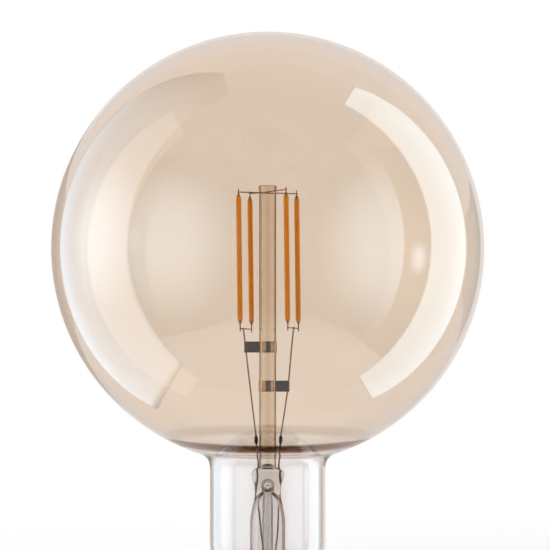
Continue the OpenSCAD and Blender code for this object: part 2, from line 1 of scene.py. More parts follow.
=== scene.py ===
"""Looks of a filament globe bulb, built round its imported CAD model.

Everything is in the CAD frame: +Z up the bulb's axis, the front facing -Y, and the origin at the middle
of the bottom contact's face. Sizes are named in millimetres, and MM turns them into metres.
"""

import math

import bmesh
import bpy
from mathutils import Matrix, Vector, noise


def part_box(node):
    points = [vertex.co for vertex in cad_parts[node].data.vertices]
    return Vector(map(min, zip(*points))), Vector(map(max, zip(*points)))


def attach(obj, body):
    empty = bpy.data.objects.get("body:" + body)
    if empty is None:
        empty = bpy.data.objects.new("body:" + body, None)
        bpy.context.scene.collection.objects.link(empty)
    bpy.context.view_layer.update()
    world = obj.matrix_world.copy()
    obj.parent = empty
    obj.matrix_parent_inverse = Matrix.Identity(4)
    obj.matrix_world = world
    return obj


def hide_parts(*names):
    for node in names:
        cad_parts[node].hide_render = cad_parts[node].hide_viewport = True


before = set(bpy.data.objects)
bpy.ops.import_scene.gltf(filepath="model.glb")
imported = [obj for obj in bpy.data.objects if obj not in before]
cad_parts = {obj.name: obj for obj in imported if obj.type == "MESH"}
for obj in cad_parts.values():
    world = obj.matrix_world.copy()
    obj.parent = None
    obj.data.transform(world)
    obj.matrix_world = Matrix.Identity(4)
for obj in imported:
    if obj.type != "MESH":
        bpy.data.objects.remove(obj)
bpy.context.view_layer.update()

MM = 0.001
ROOT = "root"
TURN = 2 * math.pi

# ---------------------------------------------------------------- sizes, in millimetres


def box_mm(node):
    """The lowest and highest corner of a CAD node, in millimetres."""
    low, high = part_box(node)
    return [v / MM for v in low], [v / MM for v in high]


envelope_low, envelope_high = box_mm("glass_envelope")
GLOBE_R = (envelope_high[0] - envelope_low[0]) / 2
GLOBE_Z = envelope_high[2] - GLOBE_R
GLOBE_WALL = 0.8
NECK_R = 16.7
NECK_WALL = 1.1
NECK_END_R = 15.2
NECK_END_Z = envelope_low[2]
NECK_TAPER_Z = 44.8
SHOULDER_R = 3.8

support_low, support_high = box_mm("support_tube")
SUPPORT_R = support_high[0]
SUPPORT_WALL = 0.45
PRESS_TOP_Z = support_low[2] + 0.05

FLARE_R = 5.05
FLARE_WALL = 0.9
FLARE_RIM_Z = 33.5
FLARE_BELL_Z = 43.5
PRESS_Z = 57.4
EXHAUST_HOLE_Z = 61.2
EXHAUST_HOLE_R = 1.1
HOLE_RING_R = 1.9
HOLE_RING_Y = -3.2
exhaust_low, exhaust_high = box_mm("exhaust_tube")
EXHAUST_R = exhaust_high[0]

FILAMENT_L = 37.7
FILAMENT_R = 0.75
FILAMENT_TIP = 1.5
FILAMENT_TIP_R = 0.25
CAGE_R = 9.9
CAGE_TURN = 32
CAGE_LEAN = math.radians(0.75)
TIE_Z = GLOBE_Z + 16.25
TIE_GAP = 0.55
TIE_R = 0.17
TAB_W = 0.34
TAB_T = 0.2
TIE_STEP = 2 * TIE_R + 0.02
CROSS_DROP = 1.15
FILAMENT_TOP_Z = TIE_Z - TIE_GAP
FILAMENT_ANGLES = [math.radians(a + CAGE_TURN) for a in (180, 90, 270, 0)]
SPOT_WELD_R = 0.23
LEAD_R = 0.23
SEAL_R = 0.25

CAP_R = box_mm("cap_shell")[1][0]
CAP_LOW_Z = 4.5
CAP_RIM_Z = 21.4
CAP_TOP_Z = 25.4
THREAD_PITCH = 3.629
THREAD_DEPTH = 0.95
CAP_WALL = 0.3
CAP_FOOT_R = 11.15
COLLAR_R = box_mm("collar")[1][0]
COLLAR_TOP_Z = box_mm("collar")[1][2]

# Routes of the wires, as in the CAD model
LEFT_LEAD = [(-7.09, -0.4, 106.6), (-6.42, -0.4, 101.0), (-4.63, -0.25, 85.6), (-3.35, 0, 75.2)]
RIGHT_LEAD = [(7.55, -0.6, 106.9), (6.97, -0.5, 101.7), (5.9, -0.4, 89.7), (5.33, -0.3, 85.6),
              (3.75, 0, 75.2)]
LEFT_SEAL = [(-3.3, 0, 73.2), (-2.85, 0, 69.6), (-2.75, 0, 66.2), (-2.75, 0, 56), (-2.37, -0.7, 52.8),
             (-1.77, -1.6, 47.1), (-1.3, -2.2, 42.2), (-2.6, -2.4, 37), (-5.2, -1.7, 32.8),
             (-6.2, -1.15, 29.6)]
RIGHT_SEAL = [(3.7, 0, 73.2), (3.35, 0, 69.6), (3.2, 0, 66.2), (3.2, 0, 56), (3.1, 0.4, 52.8),
              (2.9, 0.9, 47.1), (2.4, 1.7, 42.2), (3, 2.2, 37), (5, 1.8, 32.8), (6.2, 1.15, 29.6)]
NEUTRAL = [(-8.2, 1, 12), (-9.6, 1, 13.4), (-10.9, 0.8, 16), (-11.25, 0.8, 19.6), (-12.3, 0.8, 22.4),
           (-12.35, 0.8, 24.9)]
FUSE_LOWER = [(7.6, 3.3, 8.6), (7.4, 3.2, 7.2), (4.5, 1.9, 6), (1.1, 0.5, 5.4), (0.1, 0, 4.4), (0, 0, 3.6),
              (0, 0, 2.8)]
FUSE_UPPER = [(7.6, 3.3, 15.1), (7.6, 3.3, 16.4), (7.6, 2.6, 17.3), (7.6, 0.8, 17.4), (7.6, -0.9, 17.4)]


# ---------------------------------------------------------------- small maths


def mix(a, b, t):
    return a + (b - a) * t


def ease(t):
    """0 to 1, with no slope at either end."""
    t = min(1, max(0, t))
    return t * t * (3 - 2 * t)


def spread(start, end, count):
    """count numbers from start to end, both included."""
    return [mix(start, end, i / (count - 1)) for i in range(count)]


def arc(centre, radius, start, end, count):
    """Points of an arc in (radius, height), with its angles in degrees."""
    return [(centre[0] + radius * math.cos(math.radians(a)), centre[1] + radius * math.sin(math.radians(a)))
            for a in spread(start, end, count)]


def spline(points, steps):
    """A smooth curve through the points: Catmull-Rom, as in the CAD model."""
    p = [Vector(v) for v in points]
    last = len(p) - 1
    out = []
    for i in range(last):
        a, b, c, d = p[max(i - 1, 0)], p[i], p[i + 1], p[min(i + 2, last)]
        for k in range(steps):
            t = k / steps
            out.append(0.5 * (2 * b + (c - a) * t + (2 * a - 5 * b + 4 * c - d) * t * t
                              + (3 * b - a - 3 * c + d) * t * t * t))
    return out + [p[last]]


# ---------------------------------------------------------------- mesh making


def metre_mesh(name, bm):
    """A mesh in metres from bm, which is in millimetres."""
    bmesh.ops.recalc_face_normals(bm, faces=bm.faces)
    mesh = bpy.data.meshes.new(name)
    bm.to_mesh(mesh)
    bm.free()
    mesh.transform(Matrix.Scale(MM, 4))
    return mesh


def smooth(mesh, sharp=40):
    mesh.shade_smooth()
    mesh.set_sharp_from_angle(angle=math.radians(sharp))


def link(name, mesh):
    obj = bpy.data.objects.new(name, mesh)
    bpy.context.collection.objects.link(obj)
    return obj


def finish_mesh(name, bm, node, slot, *finishes, sharp=40):
    """Turns bm into a smooth-shaded piece of the bulb, which replaces a CAD node. Without finishes it
    takes the material with the slot's name."""
    mesh = metre_mesh(name, bm)
    smooth(mesh, sharp)
    obj = link(name, mesh)
    for finish in finishes or (slot,):
        mesh.materials.append(M[finish])
    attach(obj, ROOT)
    if node:
        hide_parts(node)
    return obj


def skin(bm, rings, closed_loop=False, ends=False):
    """Faces between rings of vertices. A ring of one vertex is a pole. ends closes off both ends."""
    pairs = list(zip(rings, rings[1:]))
    if closed_loop:
        pairs.append((rings[-1], rings[0]))
    for a, b in pairs:
        n = max(len(a), len(b))
        for k in range(n):
            m = (k + 1) % n
            corners = [a[k % len(a)], a[m % len(a)], b[m % len(b)], b[k % len(b)]]
            unique = [v for i, v in enumerate(corners) if v not in corners[:i]]
            if len(unique) > 2:
                bm.faces.new(unique)
    if ends:
        bm.faces.new(rings[0])
        bm.faces.new(rings[-1])


def lathe(bm, outline, segments, warp=None):
    """Turns a closed outline of (radius, height) about +Z. warp moves each point (x, y, z)."""
    rings = []
    for r, z in outline:
        if r < 1e-6:
            ring = [(0, 0, z)]
        else:
            ring = [(r * math.cos(TURN * k / segments), r * math.sin(TURN * k / segments), z)
                    for k in range(segments)]
        rings.append([bm.verts.new(warp(Vector(p)) if warp else p) for p in ring])
    poles = len(rings[0]) == 1 and len(rings[-1]) == 1
    skin(bm, rings, closed_loop=not poles)


def frames(points):
    """Two side axes for each point of a path, turned as little as possible from one to the next."""
    tangents = [(points[min(i + 1, len(points) - 1)] - points[max(i - 1, 0)]).normalized()
                for i in range(len(points))]
    side = tangents[0].orthogonal().normalized()
    sides = []
    for t in tangents:
        side = (side - t * side.dot(t)).normalized()
        sides.append((side, t.cross(side)))
    return sides


def sweep(bm, points, radius, sides=16):
    """A round bar along points. radius is a number or a function of the place along it, 0 to 1."""
    rings = []
    last = len(points) - 1
    for i, (p, (u, v)) in enumerate(zip(points, frames(points))):
        r = radius(i / last) if callable(radius) else radius
        rings.append([bm.verts.new(p + r * (u * math.cos(TURN * k / sides) + v * math.sin(TURN * k / sides)))
                      for k in range(sides)])
    skin(bm, rings, ends=True)


def rounded_ends(radius, length):
    """A radius function that rounds off both ends of a bar of that length."""
    def r(t):
        edge = min(t, 1 - t) * length / radius
        return radius * (math.sqrt(1 - (1 - min(1, edge)) ** 2) * 0.75 + 0.25)
    return r


def along(low, high):
    """The matrix that moves a shape drawn up +Z from the origin to run from low towards high."""
    return Matrix.Translation(low) @ (high - low).to_track_quat("Z", "Y").to_matrix().to_4x4()


def turned(name, outline, segments, node, slot, *finishes, sharp=40, move=None, warp=None):
    """A piece turned about +Z from a closed outline of (radius, height), then moved by the matrix move."""
    bm = bmesh.new()
    lathe(bm, outline, segments, warp)
    if move:
        bmesh.ops.transform(bm, matrix=move, verts=bm.verts)
    return finish_mesh(name, bm, node, slot, *finishes, sharp=sharp)


def squared(k, count, power):
    """Point k of count round a unit circle, at power 2, or a square with round corners, at a higher one."""
    c, s = math.cos(TURN * k / count), math.sin(TURN * k / count)
    return math.copysign(abs(c) ** (2 / power), c), math.copysign(abs(s) ** (2 / power), s)


def oval_ring(bm, half_x, half_y, power, z, segments=72, centre=(0, 0)):
    return [bm.verts.new((centre[0] + half_x * x, centre[1] + half_y * y, z))
            for x, y in (squared(k, segments, power) for k in range(segments))]


def standing(node):
    """The middle of a CAD node's foot, with half its width, and its height."""
    low, high = box_mm(node)
    foot = Vector(((low[0] + high[0]) / 2, (low[1] + high[1]) / 2, low[2]))
    return foot, (high[0] - low[0]) / 2, high[2] - low[2]


def wobble(p, scale, amount, seed):
    """A small smooth offset that differs from place to place."""
    q = Vector(p) * scale + Vector((seed, seed * 1.7, seed * 2.3))
    return noise.noise_vector(q) * amount


# ---------------------------------------------------------------- materials


M = {}  # Every material, by its name


def start(name, colour, rough, **more):
    """A new material in M with one Principled shader, and the values that are the same all over it."""
    mat = M[name] = bpy.data.materials.new(name)
    mat.use_nodes = True
    tree = mat.node_tree
    shader = tree.nodes["Principled BSDF"]
    shader.inputs["Base Color"].default_value = (*colour, 1)
    shader.inputs["Roughness"].default_value = rough
    for key, value in more.items():
        shader.inputs[key.replace("_", " ")].default_value = value
    return tree, shader


def add(tree, kind, inputs=None, **settings):
    n = tree.nodes.new("ShaderNode" + kind)
    for key, value in settings.items():
        setattr(n, key, value)
    for key, value in (inputs or {}).items():
        socket = n.inputs[key]
        if isinstance(value, bpy.types.NodeSocket):
            tree.links.new(value, socket)
        else:
            socket.default_value = value
    return n


def place(tree, stretch=(1, 1, 1)):
    """The place on the object in metres, scaled by stretch."""
    coord = add(tree, "TexCoord")
    return add(tree, "Mapping", {"Vector": coord.outputs["Object"], "Scale": stretch}).outputs["Vector"]


def speckle(tree, where, size, detail=3.0):
    """Noise with features of about that size in millimetres."""
    return add(tree, "TexNoise", {"Vector": where, "Scale": 1 / (size * MM), "Detail": detail}).outputs["Fac"]


def ramp(tree, value, stops, interpolation="LINEAR"):
    """A colour ramp: stops are (place, colour)."""
    n = add(tree, "ValToRGB", {"Fac": value})
    n.color_ramp.interpolation = interpolation
    while len(n.color_ramp.elements) < len(stops):
        n.color_ramp.elements.new(0.5)
    for element, (at, colour) in zip(n.color_ramp.elements, stops):
        element.position = at
        element.color = (*colour, 1)
    return n.outputs["Color"]


def remap(tree, value, low, high, new_low, new_high, curve="LINEAR"):
    return add(tree, "MapRange", {"Value": value, "From Min": low, "From Max": high, "To Min": new_low,
                                  "To Max": new_high}, interpolation_type=curve).outputs["Result"]


def bump(tree, shader, height, distance):
    """Raises the surface by height times distance, in millimetres."""
    n = add(tree, "Bump", {"Height": height, "Distance": distance * MM, "Strength": 1.0})
    tree.links.new(n.outputs["Normal"], shader.inputs["Normal"])


def grain(name, light, dark, size, rough=(0.4, 0.6), relief=0.01, stretch=(1, 1, 1), **more):
    """A material whose colour, gloss and surface vary with a grain of that size in millimetres."""
    tree, shader = start(name, light, rough[0], **more)
    where = place(tree, stretch)
    broad = speckle(tree, where, size * 4)
    fine = speckle(tree, where, size, detail=5.0)
    tree.links.new(ramp(tree, broad, [(0.3, dark), (0.7, light)]), shader.inputs["Base Color"])
    tree.links.new(remap(tree, fine, 0.3, 0.7, *rough), shader.inputs["Roughness"])
    bump(tree, shader, fine, relief)


def axes(tree):
    """X, Y and Z on the object, in metres."""
    return add(tree, "SeparateXYZ", {"Vector": add(tree, "TexCoord").outputs["Object"]}).outputs


def faded(colour, share):
    return tuple(c * share for c in colour)


WHITE = (1, 1, 1)
# Glass: its colour, its colour seen edge on, and the amber coat's slanted lower end, in millimetres
AMBER = (0.902, 0.809, 0.715)
AMBER_EDGE = (0.985, 0.93, 0.895)
CLEAR = (0.985, 0.98, 0.975)
NECK_GLASS = (0.92, 0.888, 0.87)
# The coat's pool where it ends, partly painted dark reflection: its colour face on and edge on
POOL_AND_DARK_REFLECTION = (0.105, 0.036, 0.009)
POOL_AND_DARK_REFLECTION_THIN = (0.36, 0.075, 0.04)
COAT_END_Z = 71.1
POOL_AND_REFLECTION_TOP_Z = 73.5
COAT_SLANT = 0.077
COAT_FRONT_Y = -22.0
POOL_AND_REFLECTION_SOFT = 0.4
NECK_EDGE = (0.74, 0.69, 0.65)
PRESS_EDGE = (0.09, 0.08, 0.078)
# A browner tint of the press, then painted shade for the dome and for the exhaust hole's ring
PRESS_TINT = (0.76, 0.715, 0.655)
DOME_PAINTED_SHADE = (0.12, 0.10, 0.09)
HOLE_PAINTED_SHADE = (0.035, 0.028, 0.022)
GLASS_IOR = 1.5


def tint(tree, factor, first, second):
    """A colour between first and second, which are colours or colour sockets."""
    first, second = (c if isinstance(c, bpy.types.NodeSocket) else (*c, 1) for c in (first, second))
    return add(tree, "Mix", {0: factor, 6: first, 7: second}, data_type="RGBA").outputs[2]


def facing(tree):
    """0 where the surface faces the eye, and 1 where it is seen edge on."""
    return add(tree, "LayerWeight", {"Blend": 0.5}).outputs["Facing"]


def maths(tree, operation, first, second):
    return add(tree, "Math", {0: first, 1: second}, operation=operation).outputs[0]


def glass(name, colour, gloss=0.0):
    return start(name, colour, 0.0, Transmission_Weight=1.0, IOR=GLASS_IOR, Specular_IOR_Level=gloss)


def drawn_glass(name, colour, edge, edge_from, edge_to=0.92, size=0.8, stretch=0.05, detail=2.0, fade=0.97):
    """Drawn glass, with faint lines along it and darker where it is seen edge on."""
    tree, shader = glass(name, colour)
    lines = speckle(tree, place(tree, (1, 1, stretch)), size, detail=detail)
    body = ramp(tree, lines, [(0.3, faded(colour, fade)), (0.7, colour)])
    edge_on = remap(tree, facing(tree), edge_from, edge_to, 0, 1)
    tree.links.new(tint(tree, edge_on, body, edge), shader.inputs["Base Color"])
    bump(tree, shader, lines, 0.01)


def amber_glass():
    """Clear glass with an amber coat. Where the coat ends above the neck it pools, dark brown. The same band
    is painted dark reflection, which rises higher where the glass is seen edge on.
    """
    tree, shader = glass("amber_glass", CLEAR, gloss=0.5)
    uneven = speckle(tree, place(tree), 30, detail=2.0)
    spot = axes(tree)
    back = maths(tree, "SUBTRACT", maths(tree, "DIVIDE", spot["Y"], MM), COAT_FRONT_Y)
    edge_on = facing(tree)
    coat = ramp(tree, uneven, [(0.35, AMBER), (0.65, faded(AMBER, 0.985))])
    coat = tint(tree, remap(tree, edge_on, 0.58, 0.75, 0, 1), coat, AMBER_EDGE)
    # The pool and its painted dark reflection end at a slanted plane. Its soft upper edge rises where the
    # glass is seen edge on, and the band thins out towards the back
    limit = maths(tree, "ADD", remap(tree, edge_on, 0.6, 0.8, 0, POOL_AND_REFLECTION_SOFT), POOL_AND_REFLECTION_TOP_Z)
    limit = maths(tree, "ADD", limit, maths(tree, "MULTIPLY", back, COAT_SLANT))
    depth = maths(tree, "SUBTRACT", limit, maths(tree, "DIVIDE", spot["Z"], MM))
    thick = remap(tree, back, 14, 32, 1, 0.22)
    share = maths(tree, "MULTIPLY", remap(tree, depth, 0, POOL_AND_REFLECTION_SOFT, 0, 1), thick)
    # Painted dark reflection with the pool, browner where the glass is seen edge on
    pool_and_reflection = tint(tree, remap(tree, edge_on, 0.64, 0.76, 0, 1), POOL_AND_DARK_REFLECTION, POOL_AND_DARK_REFLECTION_THIN)
    tree.links.new(tint(tree, share, coat, pool_and_reflection), shader.inputs["Base Color"])


def pressed_glass():
    """The stem's glass, browner from a little above the press's foot upward. Painted shade makes the dome in
    the tube's foot dark, and darkens the front of the exhaust hole's ring, most on its lower side.
    """
    tree, shader = glass("pressed_glass", CLEAR)
    lines = speckle(tree, place(tree, (1, 1, 0.3)), 1.2, detail=3.0)
    body = ramp(tree, lines, [(0.3, (0.90, 0.885, 0.87)), (0.7, (0.97, 0.96, 0.95))])
    body = tint(tree, remap(tree, facing(tree), 0.35, 0.9, 0, 1), body, PRESS_EDGE)
    spot = axes(tree)

    def between(socket, low, high, new_low, new_high):
        return remap(tree, socket, low * MM, high * MM, new_low, new_high)

    pinch = between(spot["Z"], PRESS_Z + 0.5, PRESS_Z + 2.5, 0, 0.8)
    dome = between(spot["Z"], PRESS_TOP_Z - 0.1, PRESS_TOP_Z + 0.25, 0, 1)
    # Browner glass from a little above the press's foot upward
    body = tint(tree, pinch, body, PRESS_TINT)
    # Painted shade: the dome in the tube's foot is painted nearly black
    body = tint(tree, dome, body, DOME_PAINTED_SHADE)
    flat = add(tree, "CombineXYZ", {"X": spot["X"], "Z": spot["Z"]})
    away = add(tree, "VectorMath", {0: flat.outputs["Vector"], 1: (0, 0, EXHAUST_HOLE_Z * MM)},
               operation="DISTANCE").outputs["Value"]
    # Painted shade on the front of the exhaust hole's ring, darkest on its lower side
    lip = maths(tree, "MULTIPLY", between(away, 0.9, 1.3, 0, 1),
                between(away, HOLE_RING_R - 0.1, HOLE_RING_R + 0.1, 1, 0))
    front = between(spot["Y"], -2.4, -2.6, 0, 1)
    under = between(spot["Z"], EXHAUST_HOLE_Z - 1.6, EXHAUST_HOLE_Z + 1.4, 1, 0.7)
    hole_shade = maths(tree, "MULTIPLY", maths(tree, "MULTIPLY", lip, front), under)
    tree.links.new(tint(tree, hole_shade, body, HOLE_PAINTED_SHADE), shader.inputs["Base Color"])
    bump(tree, shader, lines, 0.05)


def phosphor():
    """Orange phosphor in silicone, olive brown at its two tips, where the coat runs thin over metal."""
    tree, shader = start("phosphor", (0.8, 0.3, 0.02), 0.5, Coat_Weight=0.08, Coat_Roughness=0.3,
                         Subsurface_Weight=0.1, Subsurface_Scale=0.0004)
    shader.inputs["Subsurface Radius"].default_value = (1.0, 0.4, 0.1)
    mottle = speckle(tree, place(tree), 1.1, detail=4.0)
    grit = speckle(tree, place(tree), 0.12, detail=2.0)
    colour = ramp(tree, mottle, [(0.25, (0.95, 0.33, 0.004)), (0.5, (0.98, 0.36, 0.006)),
                                 (0.75, (1.0, 0.40, 0.010))])
    height = axes(tree)["Z"]
    low = (FILAMENT_TOP_Z - FILAMENT_L) * MM
    top = FILAMENT_TOP_Z * MM
    foot = remap(tree, height, low + 0.5 * MM, low + FILAMENT_TIP * MM, 0, 1)
    crown = remap(tree, height, top - FILAMENT_TIP * MM, top - 0.5 * MM, 1, 0)
    body = tint(tree, maths(tree, "MULTIPLY", foot, crown), (0.36, 0.17, 0.025), colour)
    tree.links.new(body, shader.inputs["Base Color"])
    bump(tree, shader, grit, 0.012)


def woven(name, light, dark, pitch):
    """Braided yarn: light crowns and dark crossings, which are painted shade between the yarns, in a slanted
    check of that pitch in millimetres.
    """
    tree, shader = start(name, light, 0.8, Sheen_Weight=0.25)
    where = place(tree)
    yarn = add(tree, "TexWave", {"Vector": where, "Scale": 0.3 / (pitch * MM), "Distortion": 0.6},
               bands_direction="DIAGONAL").outputs["Fac"]
    fuzz = speckle(tree, where, pitch / 3, detail=4.0)
    both = maths(tree, "MULTIPLY", yarn, fuzz)
    # Painted shade: darker in the braid's troughs
    tree.links.new(ramp(tree, both, [(0.1, dark), (0.45, light)]), shader.inputs["Base Color"])
    bump(tree, shader, both, 0.06)


def solder_mask(name, colour, dark, pitch):
    """A board: glossy mask over copper tracks that show as paler bands, with the glass weave under it."""
    tree, shader = start(name, colour, 0.3, Coat_Weight=0.4, Coat_Roughness=0.15)
    where = place(tree, (1, 0.2, 1))
    tracks = add(tree, "TexVoronoi", {"Vector": where, "Scale": 1 / (pitch * MM), "Randomness": 0.35},
                 feature="DISTANCE_TO_EDGE").outputs["Distance"]
    band = remap(tree, tracks, 0.10, 0.14, 1, 0)
    weave = speckle(tree, where, 0.15, detail=2.0)
    mask = tint(tree, band, dark, colour)
    tree.links.new(tint(tree, remap(tree, weave, 0.3, 0.7, 0, 0.25), mask, dark), shader.inputs["Base Color"])
    bump(tree, shader, band, 0.035)


def banded_resistor():
    """Lacquer with coloured rings round it."""
    tree, shader = start("resistor_paint", (0.22, 0.42, 0.40), 0.3, Coat_Weight=0.5, Coat_Roughness=0.1)
    along = remap(tree, axes(tree)["Z"], 8.6 * MM, 15.1 * MM, 0, 1)
    paint = (0.20, 0.40, 0.37)
    brown, black, gold = (0.16, 0.06, 0.03), (0.02, 0.02, 0.02), (0.55, 0.40, 0.08)
    bands = [(0.0, paint), (0.2, brown), (0.3, paint), (0.4, black), (0.5, paint), (0.6, gold), (0.7, paint)]
    rings = ramp(tree, along, bands, "CONSTANT")
    spots = speckle(tree, place(tree), 0.5, detail=4.0)
    tree.links.new(tint(tree, remap(tree, spots, 0.35, 0.75, 0, 0.25), rings, (0.08, 0.16, 0.15)),
                   shader.inputs["Base Color"])
    bump(tree, shader, spots, 0.02)


def cap_metal():
    """Plated sheet with faint drawing lines round it, and broad smudges that vary its colour and gloss."""
    tree, shader = start("cap_metal", (0.76, 0.69, 0.60), 0.25, Metallic=1.0)
    lines = speckle(tree, place(tree, (0.06, 0.06, 1)), 0.25, detail=6.0)
    smudge = speckle(tree, place(tree), 6, detail=4.0)
    colour = ramp(tree, smudge, [(0.3, (0.62, 0.55, 0.47)), (0.6, (0.78, 0.70, 0.61))])
    tree.links.new(colour, shader.inputs["Base Color"])
    both = maths(tree, "MULTIPLY", lines, smudge)
    tree.links.new(remap(tree, both, 0.1, 0.45, 0.18, 0.36), shader.inputs["Roughness"])
    bump(tree, shader, lines, 0.012)


amber_glass()
drawn_glass("neck_glass", NECK_GLASS, NECK_EDGE, 0.66, 0.93, size=7, stretch=0.1, detail=1.0, fade=0.985)
drawn_glass("flare_glass", (0.945, 0.945, 0.955), (0.60, 0.62, 0.72), 0.50)
pressed_glass()
drawn_glass("support_glass", (0.925, 0.865, 0.785), (0.22, 0.165, 0.11), 0.36)
phosphor()
grain("plated_steel", (0.62, 0.42, 0.24), (0.36, 0.24, 0.14), 0.12, (0.3, 0.5), 0.004, Metallic=1.0)
grain("nickel_wire", (0.78, 0.50, 0.29), (0.46, 0.28, 0.15), 0.1, (0.35, 0.6), 0.004, stretch=(1, 1, 0.2),
      Metallic=1.0)
grain("weld_metal", (0.20, 0.12, 0.08), (0.08, 0.045, 0.03), 0.15, (0.35, 0.7), 0.02, Metallic=1.0)
grain("seal_copper", (0.66, 0.40, 0.26), (0.40, 0.23, 0.15), 0.2, (0.35, 0.55), 0.005, Metallic=1.0)
grain("clip_steel", (0.60, 0.44, 0.31), (0.42, 0.30, 0.21), 0.30, (0.05, 0.12), 0.001, Metallic=1.0)
# The clip's tail: the same steel as the wrap, painted darker as painted dark reflection
grain("clip_tail_painted_dark", (0.20, 0.135, 0.09), (0.12, 0.08, 0.055), 0.30, (0.08, 0.18), 0.002, Metallic=1.0)
grain("cement", (0.80, 0.77, 0.70), (0.66, 0.62, 0.55), 0.5, (0.8, 0.95), 0.12)
grain("collar_plastic", (0.86, 0.86, 0.85), (0.83, 0.83, 0.81), 0.35, (0.32, 0.42), 0.006)
woven("white_sleeve", (0.84, 0.81, 0.74), (0.50, 0.46, 0.38), 0.35)
solder_mask("green_board", (0.03, 0.20, 0.08), (0.012, 0.10, 0.04), 1.6)
solder_mask("blue_board", (0.02, 0.09, 0.30), (0.008, 0.04, 0.15), 1.1)
grain("capacitor_sleeve", (0.022, 0.022, 0.03), (0.012, 0.012, 0.016), 0.8, (0.2, 0.35), 0.01,
      Coat_Weight=0.3)
grain("tinned_wire", (0.66, 0.66, 0.65), (0.45, 0.45, 0.46), 0.15, (0.2, 0.4), 0.004, Metallic=1.0)
grain("red_epoxy", (0.42, 0.035, 0.02), (0.26, 0.02, 0.012), 0.9, (0.15, 0.3), 0.06, Coat_Weight=0.5)
grain("ferrite", (0.075, 0.07, 0.066), (0.035, 0.033, 0.03), 0.25, (0.6, 0.8), 0.03)
grain("winding", (0.62, 0.24, 0.08), (0.40, 0.14, 0.045), 0.3, (0.18, 0.32), 0.004, Metallic=1.0,
      Coat_Weight=0.5)
grain("chip_black", (0.022, 0.022, 0.024), (0.014, 0.014, 0.015), 0.12, (0.55, 0.7), 0.012)
grain("chip_tan", (0.46, 0.33, 0.18), (0.36, 0.25, 0.13), 0.2, (0.35, 0.5), 0.01)
grain("solder", (0.62, 0.62, 0.61), (0.45, 0.45, 0.45), 0.5, (0.18, 0.42), 0.02, Metallic=1.0)
banded_resistor()
grain("blue_insulation", (0.02, 0.07, 0.36), (0.015, 0.05, 0.25), 0.4, (0.3, 0.42), 0.01)
grain("tinned_steel", (0.70, 0.70, 0.69), (0.58, 0.58, 0.58), 0.6, (0.25, 0.38), 0.006, stretch=(1, 1, 0.15),
      Metallic=1.0)
grain("copper_trace", (0.55, 0.28, 0.10), (0.38, 0.18, 0.06), 0.3, (0.25, 0.4), 0.004, Metallic=1.0)
grain("gold_pins", (0.80, 0.58, 0.22), (0.62, 0.44, 0.15), 0.2, (0.18, 0.3), 0.003, Metallic=1.0)
cap_metal()
grain("black_glass", (0.012, 0.011, 0.013), (0.02, 0.018, 0.02), 1.2, (0.08, 0.2), 0.02)
grain("contact_brass", (0.62, 0.46, 0.22), (0.46, 0.33, 0.15), 0.6, (0.22, 0.42), 0.01, Metallic=1.0)


# ---------------------------------------------------------------- glass


def envelope_side(ball_r, tube_r, end_r, fillet_r):
    """Half outline of the envelope, from the crown down to the end of the neck."""
    cx = tube_r + fillet_r
    cz = GLOBE_Z - math.sqrt((ball_r + fillet_r) ** 2 - cx ** 2)
    down = math.degrees(math.atan2(cz - GLOBE_Z, cx))
    side = arc((0, GLOBE_Z), ball_r, 90, down, 90)
    side += arc((cx, cz), fillet_r, 180 + down, 180, 14)[1:]
    taper_end = NECK_END_Z + 4.5
    side += [(tube_r, z) for z in spread(cz, NECK_TAPER_Z, 8)[1:-1]]
    side += [(mix(tube_r, end_r, ease(t)), mix(NECK_TAPER_Z, taper_end, t)) for t in spread(0, 1, 12)]
    return side + [(end_r, NECK_END_Z)]


def make_envelope():
    outer = envelope_side(GLOBE_R, NECK_R, NECK_END_R, SHOULDER_R)
    inner = envelope_side(GLOBE_R - GLOBE_WALL, NECK_R - NECK_WALL, NECK_END_R - NECK_WALL,
                          SHOULDER_R + NECK_WALL)
    outer[0], inner[0] = (0, outer[0][1]), (0, inner[0][1])
    bm = bmesh.new()
    lathe(bm, outer + inner[::-1], 192)
    coat_edge, coat_up = Vector((0, COAT_FRONT_Y, COAT_END_Z)), Vector((0, -COAT_SLANT, 1)).normalized()
    bmesh.ops.bisect_plane(bm, geom=bm.verts[:] + bm.edges[:] + bm.faces[:], plane_co=coat_edge,
                           plane_no=coat_up)
    for face in bm.faces:
        face.material_index = 1 if (face.calc_center_median() - coat_edge).dot(coat_up) < 0 else 0
    return finish_mesh("globe_glass", bm, "glass_envelope", "amber_glass", "amber_glass", "neck_glass",
                       sharp=60)


def make_support():
    """Drawn glass tube with a fire-polished rim."""
    low, top = support_low[2], support_high[2]
    rim = arc((SUPPORT_R - SUPPORT_WALL / 2 + 0.05, top - 0.35), 0.35, 0, 180, 9)
    outline = [(SUPPORT_R, z) for z in spread(low, top - 2, 12)] + rim
    outline += [(SUPPORT_R - SUPPORT_WALL, z) for z in spread(top - 2, low, 12)]
    return turned("support_glass", outline, 64, "support_tube", "stem_glass", "support_glass")


def flare_side(inset, end_z):
    """Half outline of the flare, from under the press down to its bell, moved in by inset."""
    straight = FLARE_R - inset
    rim = NECK_END_R - NECK_WALL
    dome = [(mix(3.7 - inset, straight, ease(0.5 + t / 2) * 2 - 1), mix(PRESS_Z + 0.4 - inset, 50, t))
            for t in spread(0, 1, 14)]
    bell = [(mix(rim, straight, math.cos(a)), mix(FLARE_BELL_Z, end_z, math.sin(a)))
            for a in map(math.radians, spread(0, 90, 18))]
    return dome + bell


